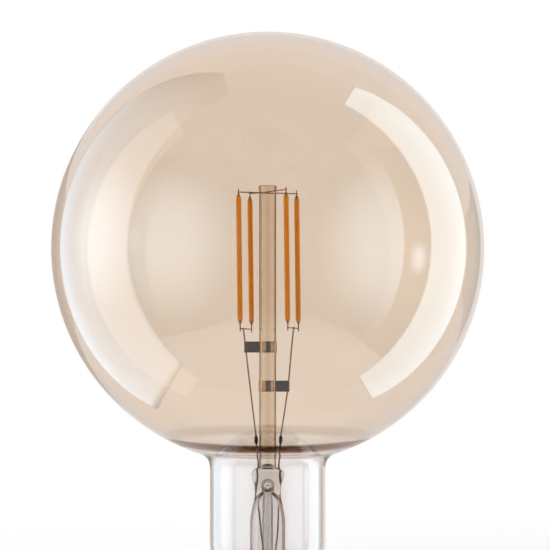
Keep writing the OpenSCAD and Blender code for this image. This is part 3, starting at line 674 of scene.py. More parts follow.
def combine(obj, tool_bm, operation):
    """Joins a shape to obj, or cuts it out, and leaves a plain mesh."""
    mesh = metre_mesh("tool", tool_bm)
    tool = link("tool", mesh)
    step = obj.modifiers.new("combine", "BOOLEAN")
    step.object = tool
    step.operation = operation
    step.solver = "EXACT"
    shape = obj.evaluated_get(bpy.context.evaluated_depsgraph_get())
    result = bpy.data.meshes.new_from_object(shape)
    obj.modifiers.clear()
    old = obj.data
    obj.data = result
    bpy.data.meshes.remove(old)
    bpy.data.objects.remove(tool)
    bpy.data.meshes.remove(mesh)
    smooth(result)


def make_stem():
    """The flare and its press in one skin: the press is pinched flat, with two round shoulders."""
    top = PRESS_TOP_Z
    bm = bmesh.new()

    def ring(r, z):
        return oval_ring(bm, r, r, 2, z)

    # The dome of melted glass in the foot of the support tube
    dome_r, dome_h = 1.85, 1.5
    outer = [[bm.verts.new((0, 0, top + dome_h))]]
    outer += [ring(dome_r * math.cos(a), top + dome_h * math.sin(a))
              for a in map(math.radians, spread(80, 0, 7))]
    # Height under the press's top, half width, half thickness, and squareness
    sections = [(0.02, 2.4, 2.0, 2.2), (0.1, 3.5, 2.3, 2.6), (0.45, 4.25, 2.5, 2.8), (1.1, 4.62, 2.6, 3),
                (1.9, 4.7, 2.6, 3), (2.9, 4.5, 2.6, 3.2), (3.9, 4.05, 2.6, 3.2), (5.0, 3.8, 2.62, 3),
                (6.2, 3.75, 2.75, 2.6), (7.2, 3.75, 3.05, 2.3), (8.1, 3.8, 3.5, 2.1), (9.2, 4.0, 3.95, 2)]
    outer += [oval_ring(bm, half_x, half_y, power, top - drop) for drop, half_x, half_y, power in sections]
    flare_top = top - 9.6
    outer += [ring(r, z) for r, z in flare_side(0, FLARE_RIM_Z) if z < flare_top]
    rim_low = FLARE_RIM_Z - FLARE_WALL
    outer.append(ring(NECK_END_R - NECK_WALL, rim_low))
    inner = [ring(r, z) for r, z in flare_side(FLARE_WALL, rim_low)][::-1][1:]
    # The roof under the press narrows to the exhaust tube's bore, which ends at the exhaust hole
    bore = EXHAUST_R + 0.01
    roof_z = PRESS_Z - 0.5
    inner += [ring(r, roof_z + rise) for r, rise in ((2.6, 0.5), (2.3, 1.1), (1.98, 1.7), (bore, 2.3))]
    inner += [ring(r, EXHAUST_HOLE_Z - drop) for r, drop in ((bore, 1.15), (0.95, 1.1), (0.9, 0.3))]
    inner.append([bm.verts.new((0, 0, EXHAUST_HOLE_Z + 0.2))])
    skin(bm, outer + inner)
    stem = finish_mesh("stem_glass", bm, "stem_flare", "stem_glass", "flare_glass", "pressed_glass")

    def turned_forward(outline):
        shape = bmesh.new()
        lathe(shape, outline, 40)
        turn = Matrix.Translation((0, 0, EXHAUST_HOLE_Z)) @ Matrix.Rotation(math.radians(90), 4, "X")
        bmesh.ops.transform(shape, matrix=turn, verts=shape.verts)
        return shape

    lip, bead = -HOLE_RING_Y, 0.38
    ring_side = [(0, 1.5), (HOLE_RING_R, 1.5)] + arc((HOLE_RING_R - bead, lip - bead), bead, 0, 180, 10)
    combine(stem, turned_forward(ring_side + [(0, lip - 0.4)]), "UNION")
    hole_side = [(0, lip + 1), (EXHAUST_HOLE_R + 0.25, lip + 1), (EXHAUST_HOLE_R, lip - 0.3),
                 (EXHAUST_HOLE_R, 1.2), (0.8, 0.7), (0, 0.45)]
    combine(stem, turned_forward(hole_side), "DIFFERENCE")
    for face in stem.data.polygons:
        x, y, z = face.center / MM
        roof = z < EXHAUST_HOLE_Z - 1.3 and math.hypot(x, y) < 2.65
        face.material_index = 1 if z > roof_z and not roof else 0
    return stem


def make_exhaust():
    tip, top = exhaust_low[2], exhaust_high[2]
    r, inside, start_z = EXHAUST_R, EXHAUST_R - 0.5, tip + 3.5
    outline = [(0, tip), (0.3, tip + 0.05), (0.7, tip + 0.5), (r * 0.8, tip + 1.6), (r * 0.96, tip + 2.6)]
    outline += [(r, z) for z in spread(start_z, top, 12)] + [(inside, z) for z in spread(top, start_z, 12)]
    outline += [(0.6, tip + 2.8), (0, tip + 2.4)]
    return turned("exhaust_glass", outline, 48, "exhaust_tube", "stem_glass", "flare_glass")


# ---------------------------------------------------------------- filament cage


def leaned(p):
    """A point of the upright cage, leaned about the place where the tie wires cross."""
    s, c = math.sin(CAGE_LEAN), math.cos(CAGE_LEAN)
    z = p.z - TIE_Z
    return Vector((p.x * c - z * s, p.y, TIE_Z + z * c + p.x * s))


def cage_point(i, z):
    return leaned(Vector((CAGE_R * math.cos(FILAMENT_ANGLES[i]), CAGE_R * math.sin(FILAMENT_ANGLES[i]), z)))


def tie_end(i):
    return cage_point(i, TIE_Z + TIE_STEP / 2 * (-1 if i in (0, 3) else 1))


def cross_end(i):
    return cage_point(i, FILAMENT_TOP_Z - FILAMENT_L - CROSS_DROP)


def make_filament(i):
    """A lumpy phosphor coat with a blunt, pencil-like point at both ends."""
    body_low, body_high = FILAMENT_TIP + 0.2, FILAMENT_L - FILAMENT_TIP - 0.2
    tip = [(FILAMENT_TIP_R * 0.8, 0), (FILAMENT_TIP_R, 0.08)]
    tip += [(mix(FILAMENT_TIP_R, FILAMENT_R * 0.94, t), mix(0.12, FILAMENT_TIP * 0.9, t))
            for t in spread(0, 1, 7)]
    tip += [(FILAMENT_R * 0.985, FILAMENT_TIP)]
    outline = [(0, 0)] + tip + [(FILAMENT_R, z) for z in spread(body_low, body_high, 60)]
    outline += [(r, FILAMENT_L - z) for r, z in tip[::-1]] + [(0, FILAMENT_L)]

    def lumps(p):
        swell = 1 + 0.04 * noise.noise(Vector((0, i * 7.0, p.z * 0.55))) + 0.025 * noise.noise(p * 2.1)
        return Vector((p.x * swell, p.y * swell, p.z))

    move = along(cage_point(i, FILAMENT_TOP_Z - FILAMENT_L), cage_point(i, FILAMENT_TOP_Z))
    return turned(f"filament_coat_{i + 1}", outline, 28, f"filament_{i + 1}", "phosphor", move=move,
                  warp=lumps)


def strip(bm, low, high, across, width, thick):
    """A flat strip with round edges and ends, from low to high, with its width along across."""
    up = (high - low).normalized()
    across = (across - up * across.dot(up)).normalized()
    out = up.cross(across)
    length = (high - low).length
    steps, sides = 10, 16
    rings = []
    for k in range(steps + 1):
        t = k / steps
        edge = min(t, 1 - t) * length / (width / 2)
        w = width / 2 * math.sqrt(max(0.12, 1 - max(0, 1 - edge) ** 2))
        centre = low + up * length * t
        rings.append([bm.verts.new(centre + across * w * x + out * thick / 2 * y)
                      for x, y in (squared(a, sides, 4) for a in range(sides))])
    skin(bm, rings, ends=True)


def make_tabs(i):
    """The filament's two bare ends, each flattened and welded on its wire."""
    bottom = FILAMENT_TOP_Z - FILAMENT_L
    cross = math.radians(CAGE_TURN + 45 + 90 + (0 if i < 2 else 180))
    radial = FILAMENT_ANGLES[i] + math.pi / 2
    bm = bmesh.new()
    for low, high, turn in ((bottom - 2.1, bottom + 0.6, cross),
                            (FILAMENT_TOP_Z - 0.6, FILAMENT_TOP_Z + 1.4, radial)):
        strip(bm, cage_point(i, low), cage_point(i, high), Vector((math.cos(turn), math.sin(turn), 0)),
              TAB_W, TAB_T)
    for centre in (tie_end(i), cross_end(i)):
        verts = bmesh.ops.create_icosphere(bm, subdivisions=3, radius=SPOT_WELD_R)["verts"]
        for v in verts:
            v.co = centre + Vector((v.co.x, v.co.y, v.co.z * 1.15)) + wobble(v.co, 4, 0.08, i + centre.z)
    return finish_mesh(f"filament_ends_{i + 1}", bm, f"filament_tabs_{i + 1}", "plated_steel")


def bar(name, points, radius, node, slot, *finishes):
    length = sum((b - a).length for a, b in zip(points, points[1:]))
    bm = bmesh.new()
    sweep(bm, points, rounded_ends(radius, length))
    return finish_mesh(name, bm, node, slot, *finishes)


def straight(a, b, over):
    """Points from a to b and past both ends by over."""
    d = (b - a).normalized() * over
    return [a - d + (b - a + 2 * d) * t for t in spread(0, 1, 24)]


def make_cage():
    for i in range(4):
        make_filament(i)
        make_tabs(i)
    for name, node, end, i, k, over in (("tie_wire_a", "tie_wire_outer", tie_end, 0, 3, 0.5),
                                        ("tie_wire_b", "tie_wire_inner", tie_end, 1, 2, 0.5),
                                        ("cross_wire_a", "cross_wire_left", cross_end, 0, 1, 0.6),
                                        ("cross_wire_b", "cross_wire_right", cross_end, 2, 3, 0.6)):
        bar(name, straight(end(i), end(k), over), TIE_R, node, "nickel_wire")
    for side, lead, seal in (("left", LEFT_LEAD, LEFT_SEAL), ("right", RIGHT_LEAD, RIGHT_SEAL)):
        bar(f"lead_{side}", spline(lead, 16), LEAD_R, f"lead_wire_{side}", "nickel_wire")
        bar(f"seal_{side}", spline(seal, 12), SEAL_R, f"seal_wire_{side}", "copper_wire", "seal_copper")
        make_weld(side, Vector(seal[0]), Vector(lead[-1]))


def make_weld(side, low, high):
    """The melted knot where a lead wire meets a seal wire."""
    length = (high - low).length
    r, over = 0.54, 0.25
    seed = 3 if side == "left" else 8
    outline = [(0, -over)]
    outline += [(r * (0.5 + 0.5 * math.sin(math.radians(a))) ** 0.9, -over + (length + 2 * over) * a / 180)
                for a in spread(4, 176, 18)]
    outline += [(0, length + over)]
    return turned(f"weld_{side}", outline, 28, f"weld_bead_{side}", "weld_metal", sharp=80,
                  move=along(low, high), warp=lambda p: p + wobble(p, 1.6, 0.12, seed))


def route_at(route, z):
    """The point of a falling route at height z."""
    p = spline(route, 16)
    for a, b in zip(p, p[1:]):
        if a.z >= z >= b.z:
            return a.lerp(b, (a.z - z) / (a.z - b.z))


def ribbon(bm, path, low, high, thick):
    """An upright strip of metal along a plan path, from height low to high, with rounded edges."""
    rings = []
    corner = thick / 2
    section = [(-0.5, low + corner), (-0.35, low + 0.25 * corner), (0, low), (0.35, low + 0.25 * corner),
               (0.5, low + corner)]
    section += [(0.5, mix(low, high, t)) for t in (0.35, 0.65)]
    section += [(0.5, high - corner), (0.35, high - 0.25 * corner), (0, high), (-0.35, high - 0.25 * corner),
                (-0.5, high - corner)]
    section += [(-0.5, mix(low, high, t)) for t in (0.65, 0.35)]
    for i, p in enumerate(path):
        d = (path[min(i + 1, len(path) - 1)] - path[max(i - 1, 0)]).normalized()
        rings.append([bm.verts.new((p.x - d.y * s * thick, p.y + d.x * s * thick, z)) for s, z in section])
    skin(bm, rings, ends=True)


def make_clip(name, route, low, high):
    """A metal strap wrapped round the support tube, with its tail curled round a lead wire."""
    thick = 0.16
    wire = route_at(route, (low + high) / 2)
    plan = Vector((wire.x, wire.y))
    out = plan.normalized()
    turn = math.atan2(plan.y, plan.x)
    wrap_r = SUPPORT_R + 0.02 + thick / 2
    curl_r = LEAD_R + thick / 2

    def at(angle):
        return Vector((math.cos(turn + math.radians(angle)), math.sin(turn + math.radians(angle))))

    path = [wrap_r * at(a) for a in spread(35, 335, 60)]
    curl_start = plan - Vector((-out.y, out.x)) * curl_r
    wrap_end = path[-1]
    path += [wrap_end.lerp(curl_start, t) for t in spread(0, 1, 16)[1:]]
    path += [plan + curl_r * at(a) for a in spread(-90, 150, 28)[1:]]
    bm = bmesh.new()
    ribbon(bm, path, low, high, thick)
    # Faces of the tail take the darker copy of the steel: painted dark reflection
    for face in bm.faces:
        face.material_index = 1 if face.calc_center_median().xy.length > wrap_r + thick else 0
    return finish_mesh(name + "_strap", bm, name, "clip_steel", "clip_steel", "clip_tail_painted_dark", sharp=50)


# ---------------------------------------------------------------- cap and collar


def thread_r(z, a):
    """Outer radius of the threaded sheet at height z and angle a, in radians."""
    crest = CAP_R - 0.03
    middle = crest - THREAD_DEPTH / 2
    low = mix(CAP_FOOT_R, middle, ease((z - CAP_LOW_Z) / 2.2))
    base = mix(low, CAP_R - 0.15, ease((z - CAP_RIM_Z + 1.6) / 1.6))
    swing = THREAD_DEPTH / 2 * ease((z - CAP_LOW_Z - 1.2) / 2) * ease((CAP_RIM_Z - 0.1 - z) / 1.4)
    return base + swing * math.cos(TURN * z / THREAD_PITCH - a)


def make_cap():
    sides, rows = 144, 120
    dimples, dimple_r, dimple_z = 8, 0.7, 24.2

    def radius(z, a):
        if z <= CAP_RIM_Z:
            return thread_r(z, a)
        lip = 0.12 * ease((z - (CAP_TOP_Z - 0.35)) / 0.3)
        r = mix(CAP_R - 0.15, CAP_R, ease((z - CAP_RIM_Z) / 0.35)) - lip
        nearest = (a * dimples / TURN) % 1 - 0.5
        away = (nearest * TURN / dimples * CAP_R / dimple_r) ** 2 + ((z - dimple_z) / dimple_r) ** 2
        return r - 0.28 * math.exp(-2.2 * away)

    heights = spread(CAP_LOW_Z, CAP_RIM_Z, rows) + spread(CAP_RIM_Z, CAP_TOP_Z, 34)[1:]
    bm = bmesh.new()
    outer, inner = [], []
    for z in heights:
        for rings, inset in ((outer, 0), (inner, CAP_WALL)):
            ring = []
            for k in range(sides):
                a = TURN * k / sides
                r = radius(z, a) - inset
                ring.append(bm.verts.new((r * math.cos(a), r * math.sin(a), z)))
            rings.append(ring)
    skin(bm, outer + inner[::-1], closed_loop=True)
    return finish_mesh("cap_sheet", bm, "cap_shell", "cap_metal", sharp=50)


def make_insulator():
    """Black glass poured into the cap, with a moulded step round the contact."""
    outline = [(1.3, 1.45), (4.7, 1.45), (4.95, 1.5), (5.2, 1.62), (5.6, 1.75), (6.6, 2.25), (6.8, 2.45),
               (7.2, 2.55), (8.4, 3.15), (9.6, 3.85), (10.3, 4.3), (10.75, 4.65), (11, 5), (11.05, 6.6),
               (10.2, 6.6), (9.4, 5.6), (4.2, 3.6), (1.3, 3.6)]
    return turned("insulator_glass", outline, 96, "cap_insulator", "black_glass", sharp=50)


def make_contact():
    """Brass button with a flat pool of solder over its middle."""
    outline = [(0, 0.02), (3.3, 0.02), (3.6, 0.06), (4.1, 0.25), (4.5, 0.5), (4.8, 0.8), (4.9, 1.05),
               (4.88, 1.3), (4.75, 1.4), (1.3, 1.4), (1.3, 3.6), (0, 3.6)]
    turned("contact_button", outline, 72, "centre_contact", "contact_brass", sharp=50)
    pool = [(0, 0), (1.6, 0), (2.1, 0.03), (2.45, 0.06), (2.6, 0.12), (2.4, 0.3), (0, 0.3)]

    def uneven(p):
        return Vector((p.x, p.y, p.z)) * (1 + 0.06 * noise.noise(p * 0.5)) if p.z > 0 else p

    return turned("contact_solder", pool, 48, None, "solder", sharp=60, warp=uneven)


def make_collar():
    """Moulded plastic collar: a funnel with a rolled lip over a fine groove."""
    low_r, top_r, top = CAP_R + 0.7, COLLAR_R, COLLAR_TOP_Z
    socket_r, spigot_r = NECK_END_R + 0.4, CAP_R - 0.4
    ledge_r, ledge_z = 12.9, 28.5
    foot_r, foot_z = 11.5, CAP_RIM_Z + 0.4
    outline = [(foot_r, foot_z), (spigot_r, foot_z), (spigot_r, CAP_TOP_Z), (low_r - 0.35, CAP_TOP_Z),
               (low_r - 0.1, CAP_TOP_Z + 0.1)]
    outline += [(mix(low_r, top_r, ease(t)), mix(CAP_TOP_Z + 0.4, top - 2, t)) for t in spread(0, 1, 30)]
    outline += arc((top_r - 0.8, top - 0.8), 0.8, 0, 90, 8)
    outline += [(socket_r + 0.5, top), (socket_r + 0.15, top - 0.15), (socket_r, top - 0.5),
                (socket_r, NECK_END_Z), (ledge_r, NECK_END_Z), (ledge_r, ledge_z), (foot_r, 27)]
    return turned("collar_shell", outline, 128, "collar", "collar_plastic", sharp=35)


def make_cement():
    low, high = box_mm("neck_cement")
    r, top = high[0], high[2]
    outline = [(NECK_END_R, low[2]), (r, low[2]), (r, top - 0.2), (r - 0.1, top + 0.05),
               (NECK_END_R + 0.1, top + 0.1), (NECK_END_R, top - 0.1)]
    return turned("cement_ring", outline, 96, "neck_cement", "cement")


# ---------------------------------------------------------------- driver electronics


def dress(node, finish, edge):
    """A CAD node keeps its shape and takes a finish, with its edges rounded by edge millimetres."""
    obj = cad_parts[node]
    obj.data.materials.clear()
    obj.data.materials.append(M[finish])
    if edge:
        weld = obj.modifiers.new("weld", "WELD")
        weld.merge_threshold = 0.002 * MM
        bevel = obj.modifiers.new("edges", "BEVEL")
        bevel.width = edge * MM
        bevel.segments = 2
        bevel.limit_method = "ANGLE"
        bevel.angle_limit = math.radians(40)
        bevel.harden_normals = False


def make_sleeve(side, route):
    """A braided glass sleeve round a seal wire: two sets of yarns wind round it in opposite directions."""
    whole = spline(route, 12)
    start_i, spare = 75, 8
    path = whole[start_i:len(whole) - spare]
    sleeve_r, bore_r = 0.55, SEAL_R + 0.02
    count, around = len(path), 20
    yarns, twist = 5, 1.3
    bm = bmesh.new()
    outer, inner = [], []
    for i, (p, (u, v)) in enumerate(zip(path, frames(path))):
        fray = 0.05 * (ease((0.06 - i / count) / 0.06) + ease((i / count - 0.94) / 0.06))
        rings = [[], []]
        for k in range(around):
            a = TURN * k / around
            braid = abs(math.sin(yarns * a / 2 + twist * i)) * abs(math.sin(yarns * a / 2 - twist * i))
            for ring, r in zip(rings, (sleeve_r + 0.07 * braid + fray, bore_r)):
                ring.append(bm.verts.new(p + r * (u * math.cos(a) + v * math.sin(a))))
        outer.append(rings[0])
        inner.append(rings[1])
    skin(bm, outer + inner[::-1], closed_loop=True)
    finish_mesh(f"sleeve_{side}", bm, f"wire_sleeve_{side}", "white_sleeve", sharp=70)


def make_can():
    """The bulk capacitor: a shrink sleeve rolled over the groove and rim, and a scored vent on top."""
    foot, r, length = standing("bulk_capacitor")
    centre = Matrix.Translation(foot)
    outline = [(0, 0.25), (r - 1.2, 0.25), (r - 1.1, 0.05), (r - 0.5, 0), (r - 0.15, 0.12), (r, 0.4),
               (r, 1.15), (r - 0.15, 1.4), (r - 0.33, 1.65), (r - 0.33, 1.8), (r - 0.15, 2.05), (r, 2.3)]
    outline += [(r, z) for z in spread(3, length - 0.7, 12)]
    outline += arc((r - 0.45, length - 0.45), 0.45, 10, 90, 6)
    outline += [(r - 1.05, length), (r - 1.15, length - 0.12), (0, length - 0.12)]
    turned("capacitor_can", outline, 64, "bulk_capacitor", "capacitor_sleeve", move=centre)
    lid_r = r - 1.2
    lid = [(0, length - 0.13), (lid_r, length - 0.13), (lid_r, length - 0.02), (lid_r - 0.15, length),
           (1.6, length - 0.01), (1.4, length - 0.05), (1.2, length - 0.01), (0, length)]
    turned("capacitor_lid", lid, 64, None, "tinned_steel", move=centre)
    bm = bmesh.new()
    bend_z = foot.z - 1.3
    for side in (-1.75, 1.75):
        x, y = foot.x + side, foot.y
        route = [(x, y, foot.z), (x, y, foot.z - 0.9), (x, y + 1.2, bend_z), (x, -0.65, bend_z)]
        sweep(bm, spline(route, 10), 0.25)
    finish_mesh("capacitor_legs", bm, "bulk_capacitor_leads", "tinned_wire")


def soft_block(bm, low, high, bulge):
    """A block with round corners and slightly crowned faces, standing up +Z."""
    power, rows = 5, 14
    centre = (low[0] + high[0]) / 2, (low[1] + high[1]) / 2
    hx, hy = (high[0] - low[0]) / 2, (high[1] - low[1]) / 2
    rings = [[bm.verts.new((*centre, low[2]))]]
    for t in spread(0.012, 0.988, rows):
        pull = (1 - abs(2 * t - 1) ** power) ** (1 / power) - bulge * (2 * t - 1) ** 2
        rings.append(oval_ring(bm, hx * pull, hy * pull, power, mix(low[2], high[2], t), 48, centre))
    rings.append([bm.verts.new((*centre, high[2]))])
    skin(bm, rings)


def make_film_capacitor():
    """A wound capacitor dipped in red epoxy, on two drawn-out feet."""
    low, high = box_mm("film_capacitor")
    back = -1.2
    bm = bmesh.new()
    soft_block(bm, low, (high[0], back, high[2]), 0.04)
    for x in (low[0] + 1, high[0] - 1):
        sweep(bm, [Vector((x, back - 0.6 + 0.12 * i, low[2] + 2.1)) for i in range(11)],
              lambda t: mix(0.55, 0.24, ease(t * 1.4)), 20)
    finish_mesh("film_capacitor_body", bm, "film_capacitor", "red_epoxy", sharp=60)


def make_choke():
    """Enamelled copper wound in two layers on a ferrite bobbin with rounded flanges."""
    foot, r, length = standing("choke_core")
    flange, core = 1, 1.6
    half = [(0, 0.15), (0.8, 0.15), (0.95, 0), (r - 0.25, 0), (r, 0.25), (r, flange - 0.2), (r - 0.2, flange),
            (core, flange)]
    outline = half + [(a, length - b) for a, b in half[::-1]]
    turned("choke_bobbin", outline, 72, "choke_core", "ferrite", move=Matrix.Translation(foot))
    wire_r, turns, steps = 0.23, 12, 240
    bm = bmesh.new()
    base = foot.z + flange + wire_r + 0.02
    travel = length - 2 * flange - 2 * wire_r - 0.04
    for layer, radius in enumerate((core + wire_r + 0.01, core + 3 * wire_r - 0.02)):
        path = []
        for i in range(steps + 1):
            t = i / steps
            a = TURN * turns * t
            z = base + travel * (t if layer == 0 else 1 - t)
            path.append(Vector((foot.x + radius * math.cos(a), foot.y + radius * math.sin(a), z)))
        sweep(bm, path, wire_r, 10)
    finish_mesh("choke_wire", bm, "choke_winding", "copper_wire", "winding")


def make_fuse():
    """A lacquered fusible resistor in a loose sleeve, and its two bent leads."""
    foot, r, length = standing("fusible_resistor")
    end = [(0, 0), (0.55, 0.02), (0.95, 0.12), (1.16, 0.35), (r, 0.7), (r, 1.3), (1.19, 1.65), (1.12, 1.95)]
    outline = end + [(1.1, z) for z in spread(2.2, length - 2.2, 6)] + [(a, length - b) for a, b in end[::-1]]
    turned("resistor_body", outline, 48, "fusible_resistor", "resistor_paint", move=Matrix.Translation(foot))
    bm = bmesh.new()
    for route in (FUSE_LOWER, FUSE_UPPER):
        sweep(bm, spline(route, 12), 0.3)
    finish_mesh("resistor_leads", bm, "fuse_leads", "tinned_wire")
    sleeve, out, tall = standing("fuse_sleeve")
    low, high, rim = sleeve.z, sleeve.z + tall, 0.06
    inside = out - 0.22
    outline = [(inside, low + rim), (inside + rim, low), (out - rim, low), (out, low + rim)]
    outline += [(out - 0.03 * math.sin(k * 2.1), z) for k, z in enumerate(spread(low + 0.3, high - 0.3, 14))]
    outline += [(out, high - rim), (out - rim, high), (inside + rim, high), (inside, high - rim)]
    turned("resistor_sleeve", outline, 40, "fuse_sleeve", "white_sleeve", sharp=60,
           move=Matrix.Translation((foot.x, foot.y, 0)))


def make_electronics():
    make_sleeve("left", LEFT_SEAL)
    make_sleeve("right", RIGHT_SEAL)
    make_can()
    make_film_capacitor()
    make_choke()
    make_fuse()
    bar("neutral_wire", spline(NEUTRAL, 12), 0.32, "neutral_lead", "blue_insulation")
    for node, finish, edge in (
            ("driver_board", "green_board", 0.04), ("bridge_rectifier", "chip_black", 0.08),
            ("driver_chip", "chip_black", 0.06), ("power_transistor", "chip_black", 0.06),
            ("chip_resistors", "chip_black", 0.05), ("chip_capacitors", "chip_tan", 0.08),
            ("solder_joints", "solder", 0), ("wifi_board", "blue_board", 0.04),
            ("wifi_shield_can", "tinned_steel", 0.12), ("wifi_antenna", "copper_trace", 0.015),
            ("header_body", "chip_black", 0.12), ("header_pins", "gold_pins", 0.06)):
        dress(node, finish, edge)


# ---------------------------------------------------------------- studio

STUDIO_FRONT = 0.07
STUDIO_BACK = 0.9
STUDIO_UNDER = 0.9
INNER_GLOW = (0.56, 0.47, 0.39)
# How much of a panel's hue shows in a reflection on the outside, and in one seen through glass
PLAIN_HUE = 0.3
THROUGH_HUE = 1.5


def reflected(tree, diffuse_too=False):
    """1 on a light path that has met a reflection, and 0 on one that only looked through glass."""
    path = add(tree, "LightPath")
    total = path.outputs["Glossy Depth"]
    if diffuse_too:
        total = maths(tree, "ADD", total, path.outputs["Diffuse Depth"])
    return maths(tree, "GREATER_THAN", total, 0.5)


def inner_warmth(tree, colour, plain):
    """colour in a reflection outside the globe, and plain, warmer and dimmer, on what stands in it."""
    depth = add(tree, "LightPath").outputs["Transmission Depth"]
    inside = tuple(c * warm for c, warm in zip(plain, INNER_GLOW))
    return tint(tree, remap(tree, depth, 2, 3, 0, 1), colour, inside)


def studio_material(name, colour, plain, strength, diffuse_too=False):
    """A glow that only reflections see. Straight looks through the glass miss it. plain is its colour in a
    reflection that passed through no glass. strength is a number, or a function that makes it from nodes."""
    mat = bpy.data.materials.new(name)
    mat.use_nodes = True
    tree = mat.node_tree
    tree.nodes.clear()
    clear = add(tree, "BsdfTransparent")
    depth = add(tree, "LightPath").outputs["Transmission Depth"]
    hue = tint(tree, remap(tree, depth, 0, 1, 0, 1), plain, inner_warmth(tree, colour, plain))
    hue = tint(tree, reflected(tree), WHITE, hue)
    glow = strength(tree) if callable(strength) else strength
    emit = add(tree, "Emission", {"Color": hue, "Strength": glow})
    both = add(tree, "MixShader", {0: reflected(tree, diffuse_too), 1: clear.outputs[0], 2: emit.outputs[0]})
    tree.links.new(both.outputs[0], add(tree, "OutputMaterial").inputs["Surface"])
    return mat


def sheet(name, corners, mat, hidden_from=(), at=None):
    """A flat piece of the studio. hidden_from names the kinds of ray that miss it."""
    mesh = bpy.data.meshes.new(name)
    mesh.from_pydata(corners, [], [(0, 1, 2, 3)])
    mesh.materials.append(mat)
    obj = link(name, mesh)
    if at:
        obj.matrix_world = at
    for ray in hidden_from:
        setattr(obj, "visible_" + ray, False)


def rectangle(half_x, half_y):
    return [(-half_x, -half_y, 0), (half_x, -half_y, 0), (half_x, half_y, 0), (-half_x, half_y, 0)]


def make_flags():
    """Five cards round the bright opening behind the bulb, which draw the edges of the glass."""
    y, z, hole = 1.0, GLOBE_Z * MM, 0.24
    left, middle, right = -0.8, 0.55, 1.25
    side_grey = (0.93, 0.88, 0.85)
    for name, x0, x1, z0, z1, grey in (
            ("flag_left", left, -hole, z - hole, z + hole, (0.64, 0.55, 0.47)),
            ("flag_right", hole, middle, z - hole, z + hole, side_grey),
            ("flag_far_right", middle, right, z - hole, z + hole, (0.60, 0.565, 0.54)),
            ("flag_top", left, right, z + hole, z + 2.2, side_grey),
            ("flag_low", left, right, z - 1.2, z - hole, (0.86, 0.80, 0.77))):
        sheet(name, [(x0, y, z0), (x1, y, z0), (x1, y, z1), (x0, y, z1)],
              studio_material(name, grey, grey, 1.0), ("camera", "diffuse", "shadow"))


def panel(name, centre, size, facing_to, strength, colour, hot=None, soft=0.06, fade=None):
    """A glowing panel. hot is (u, v, reach, gain): a brighter place on it. soft is the width of its faded
    edge. fade is a pair of heights on it, between which it fades out upwards."""
    hx, hy = size[0] / 2, size[1] / 2

    def glow_of(tree):
        where = add(tree, "TexCoord").outputs["Object"]
        spot = add(tree, "SeparateXYZ", {"Vector": where}).outputs
        glow = strength
        for axis, half in (("X", hx), ("Y", hy)):
            away = add(tree, "Math", {0: spot[axis]}, operation="ABSOLUTE").outputs[0]
            edge = remap(tree, away, half * (1 - soft), half, 1, 0, "SMOOTHSTEP")
            glow = maths(tree, "MULTIPLY", edge, glow)
        if fade:
            glow = maths(tree, "MULTIPLY", remap(tree, spot["Y"], *fade, 1, 0, "SMOOTHSTEP"), glow)
        if hot:
            u, v, reach, gain = hot
            away = add(tree, "VectorMath", {0: where, 1: (u, v, 0)}, operation="DISTANCE").outputs["Value"]
            glow = maths(tree, "ADD", glow, remap(tree, away, 0, reach, gain, 0, "SMOOTHERSTEP"))
        return glow

    plain, through = (tuple(mix(1, c, share) for c in colour) for share in (PLAIN_HUE, THROUGH_HUE))
    normal = Vector(facing_to).normalized()
    across = Vector((0, 0, 1)).cross(normal).normalized()
    turn = Matrix((across, normal.cross(across), normal)).transposed().to_4x4()
    sheet(name, rectangle(hx, hy), studio_material(name, through, plain, glow_of, diffuse_too=True),
          ("camera", "shadow"), Matrix.Translation(centre) @ turn)


def make_floor():
    """A pale floor, which reflections pass through."""
    tree, shader = start("pale_floor", (0.82, 0.82, 0.82), 0.9, Emission_Color=(*WHITE, 1),
                         Emission_Strength=0.25)
    clear = add(tree, "BsdfTransparent")
    both = add(tree, "MixShader", {0: reflected(tree), 1: shader.outputs[0], 2: clear.outputs[0]})
    tree.links.new(both.outputs[0], tree.nodes["Material Output"].inputs["Surface"])
    sheet("floor", rectangle(12, 12), M["pale_floor"], at=Matrix.Translation((0, 0, -0.0005)))


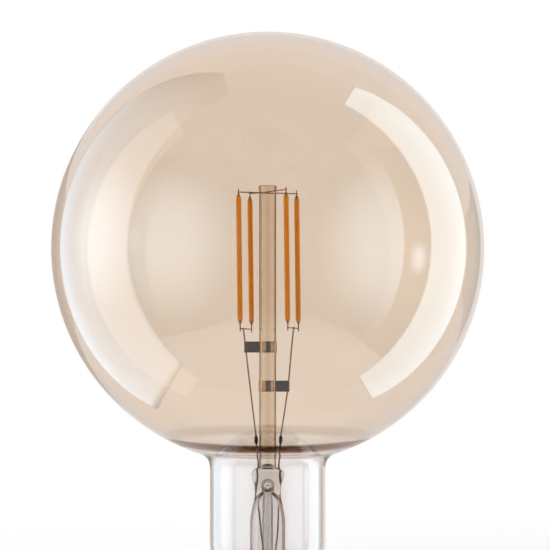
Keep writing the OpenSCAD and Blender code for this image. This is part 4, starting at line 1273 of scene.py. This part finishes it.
def make_world():
    """A white room to look at, and a dimmer studio for reflections, lit from behind the bulb."""
    world = bpy.data.worlds.new("studio")
    bpy.context.scene.world = world
    world.use_nodes = True
    tree = world.node_tree
    tree.nodes.clear()
    split = add(tree, "SeparateXYZ", {"Vector": add(tree, "TexCoord").outputs["Generated"]})
    studio = remap(tree, split.outputs["Y"], -0.3, 0.6, STUDIO_FRONT, STUDIO_BACK, "SMOOTHSTEP")
    under = remap(tree, split.outputs["Z"], -0.5, -0.8, 0, STUDIO_UNDER, "SMOOTHSTEP")
    studio = maths(tree, "MAXIMUM", studio, under)
    level = add(tree, "Mix", {0: reflected(tree), 2: 1.0, 3: studio}, data_type="FLOAT").outputs[0]
    colour = tint(tree, reflected(tree), WHITE, inner_warmth(tree, WHITE, WHITE))
    back = add(tree, "Background", {"Color": colour, "Strength": level})
    tree.links.new(back.outputs[0], add(tree, "OutputWorld").inputs["Surface"])


def make_camera():
    """A long lens a little under the bulb's middle, looking slightly up at it."""
    data = bpy.data.cameras.new("camera")
    data.sensor_width = 36
    data.lens = 204
    data.clip_start = 0.01
    camera = link("camera", data)
    camera.location = (0.0021, -0.9, 0.0857)
    target = Vector((0.0021, 0, 0.1218))
    camera.rotation_euler = (target - camera.location).to_track_quat("-Z", "Y").to_euler()
    bpy.context.scene.camera = camera


# ---------------------------------------------------------------- assembly

make_envelope()
make_support()
make_stem()
make_exhaust()
make_cage()
make_clip("clip_upper", LEFT_LEAD, 99.4, 102.6)
make_clip("clip_lower", RIGHT_LEAD, 88.1, 91.3)
make_cap()
make_insulator()
make_contact()
make_collar()
make_cement()
make_electronics()

make_world()
make_floor()
make_flags()
heart = GLOBE_Z * MM
panel("scrim_left", (-0.6, 0.27, heart + 0.78), (0.9, 3.24), (1, 0, 0), 1.95, (0.75, 1, 1.28),
      hot=(-0.24, -0.725, 0.40, 1.8), fade=(-1.4, 0.9))
panel("strip_right", (0.5, 0.17, heart + 0.12), (0.34, 1.66), (-1, 0, 0), 2.7, (0.72, 1, 1.2), soft=0.02)
for name, turn, rise, reach, gain in (("front_soft_left", -50, 0.02, 0.95, 1.9),
                                      ("front_soft_right", 64, 0.02, 0.95, 2.2),
                                      ("front_spot_right", 84, -0.07, 0.15, 2.6)):
    aim = math.radians(turn)
    spot = Vector((math.sin(aim), -math.cos(aim), 0))
    panel(name, spot + Vector((0, 0, heart + rise)), (1.8, 1.8), -spot, 0.0, (0.66, 1, 1.32),
          hot=(0, 0, reach, gain))
make_camera()

view = bpy.context.scene.view_settings
view.view_transform = "Standard"
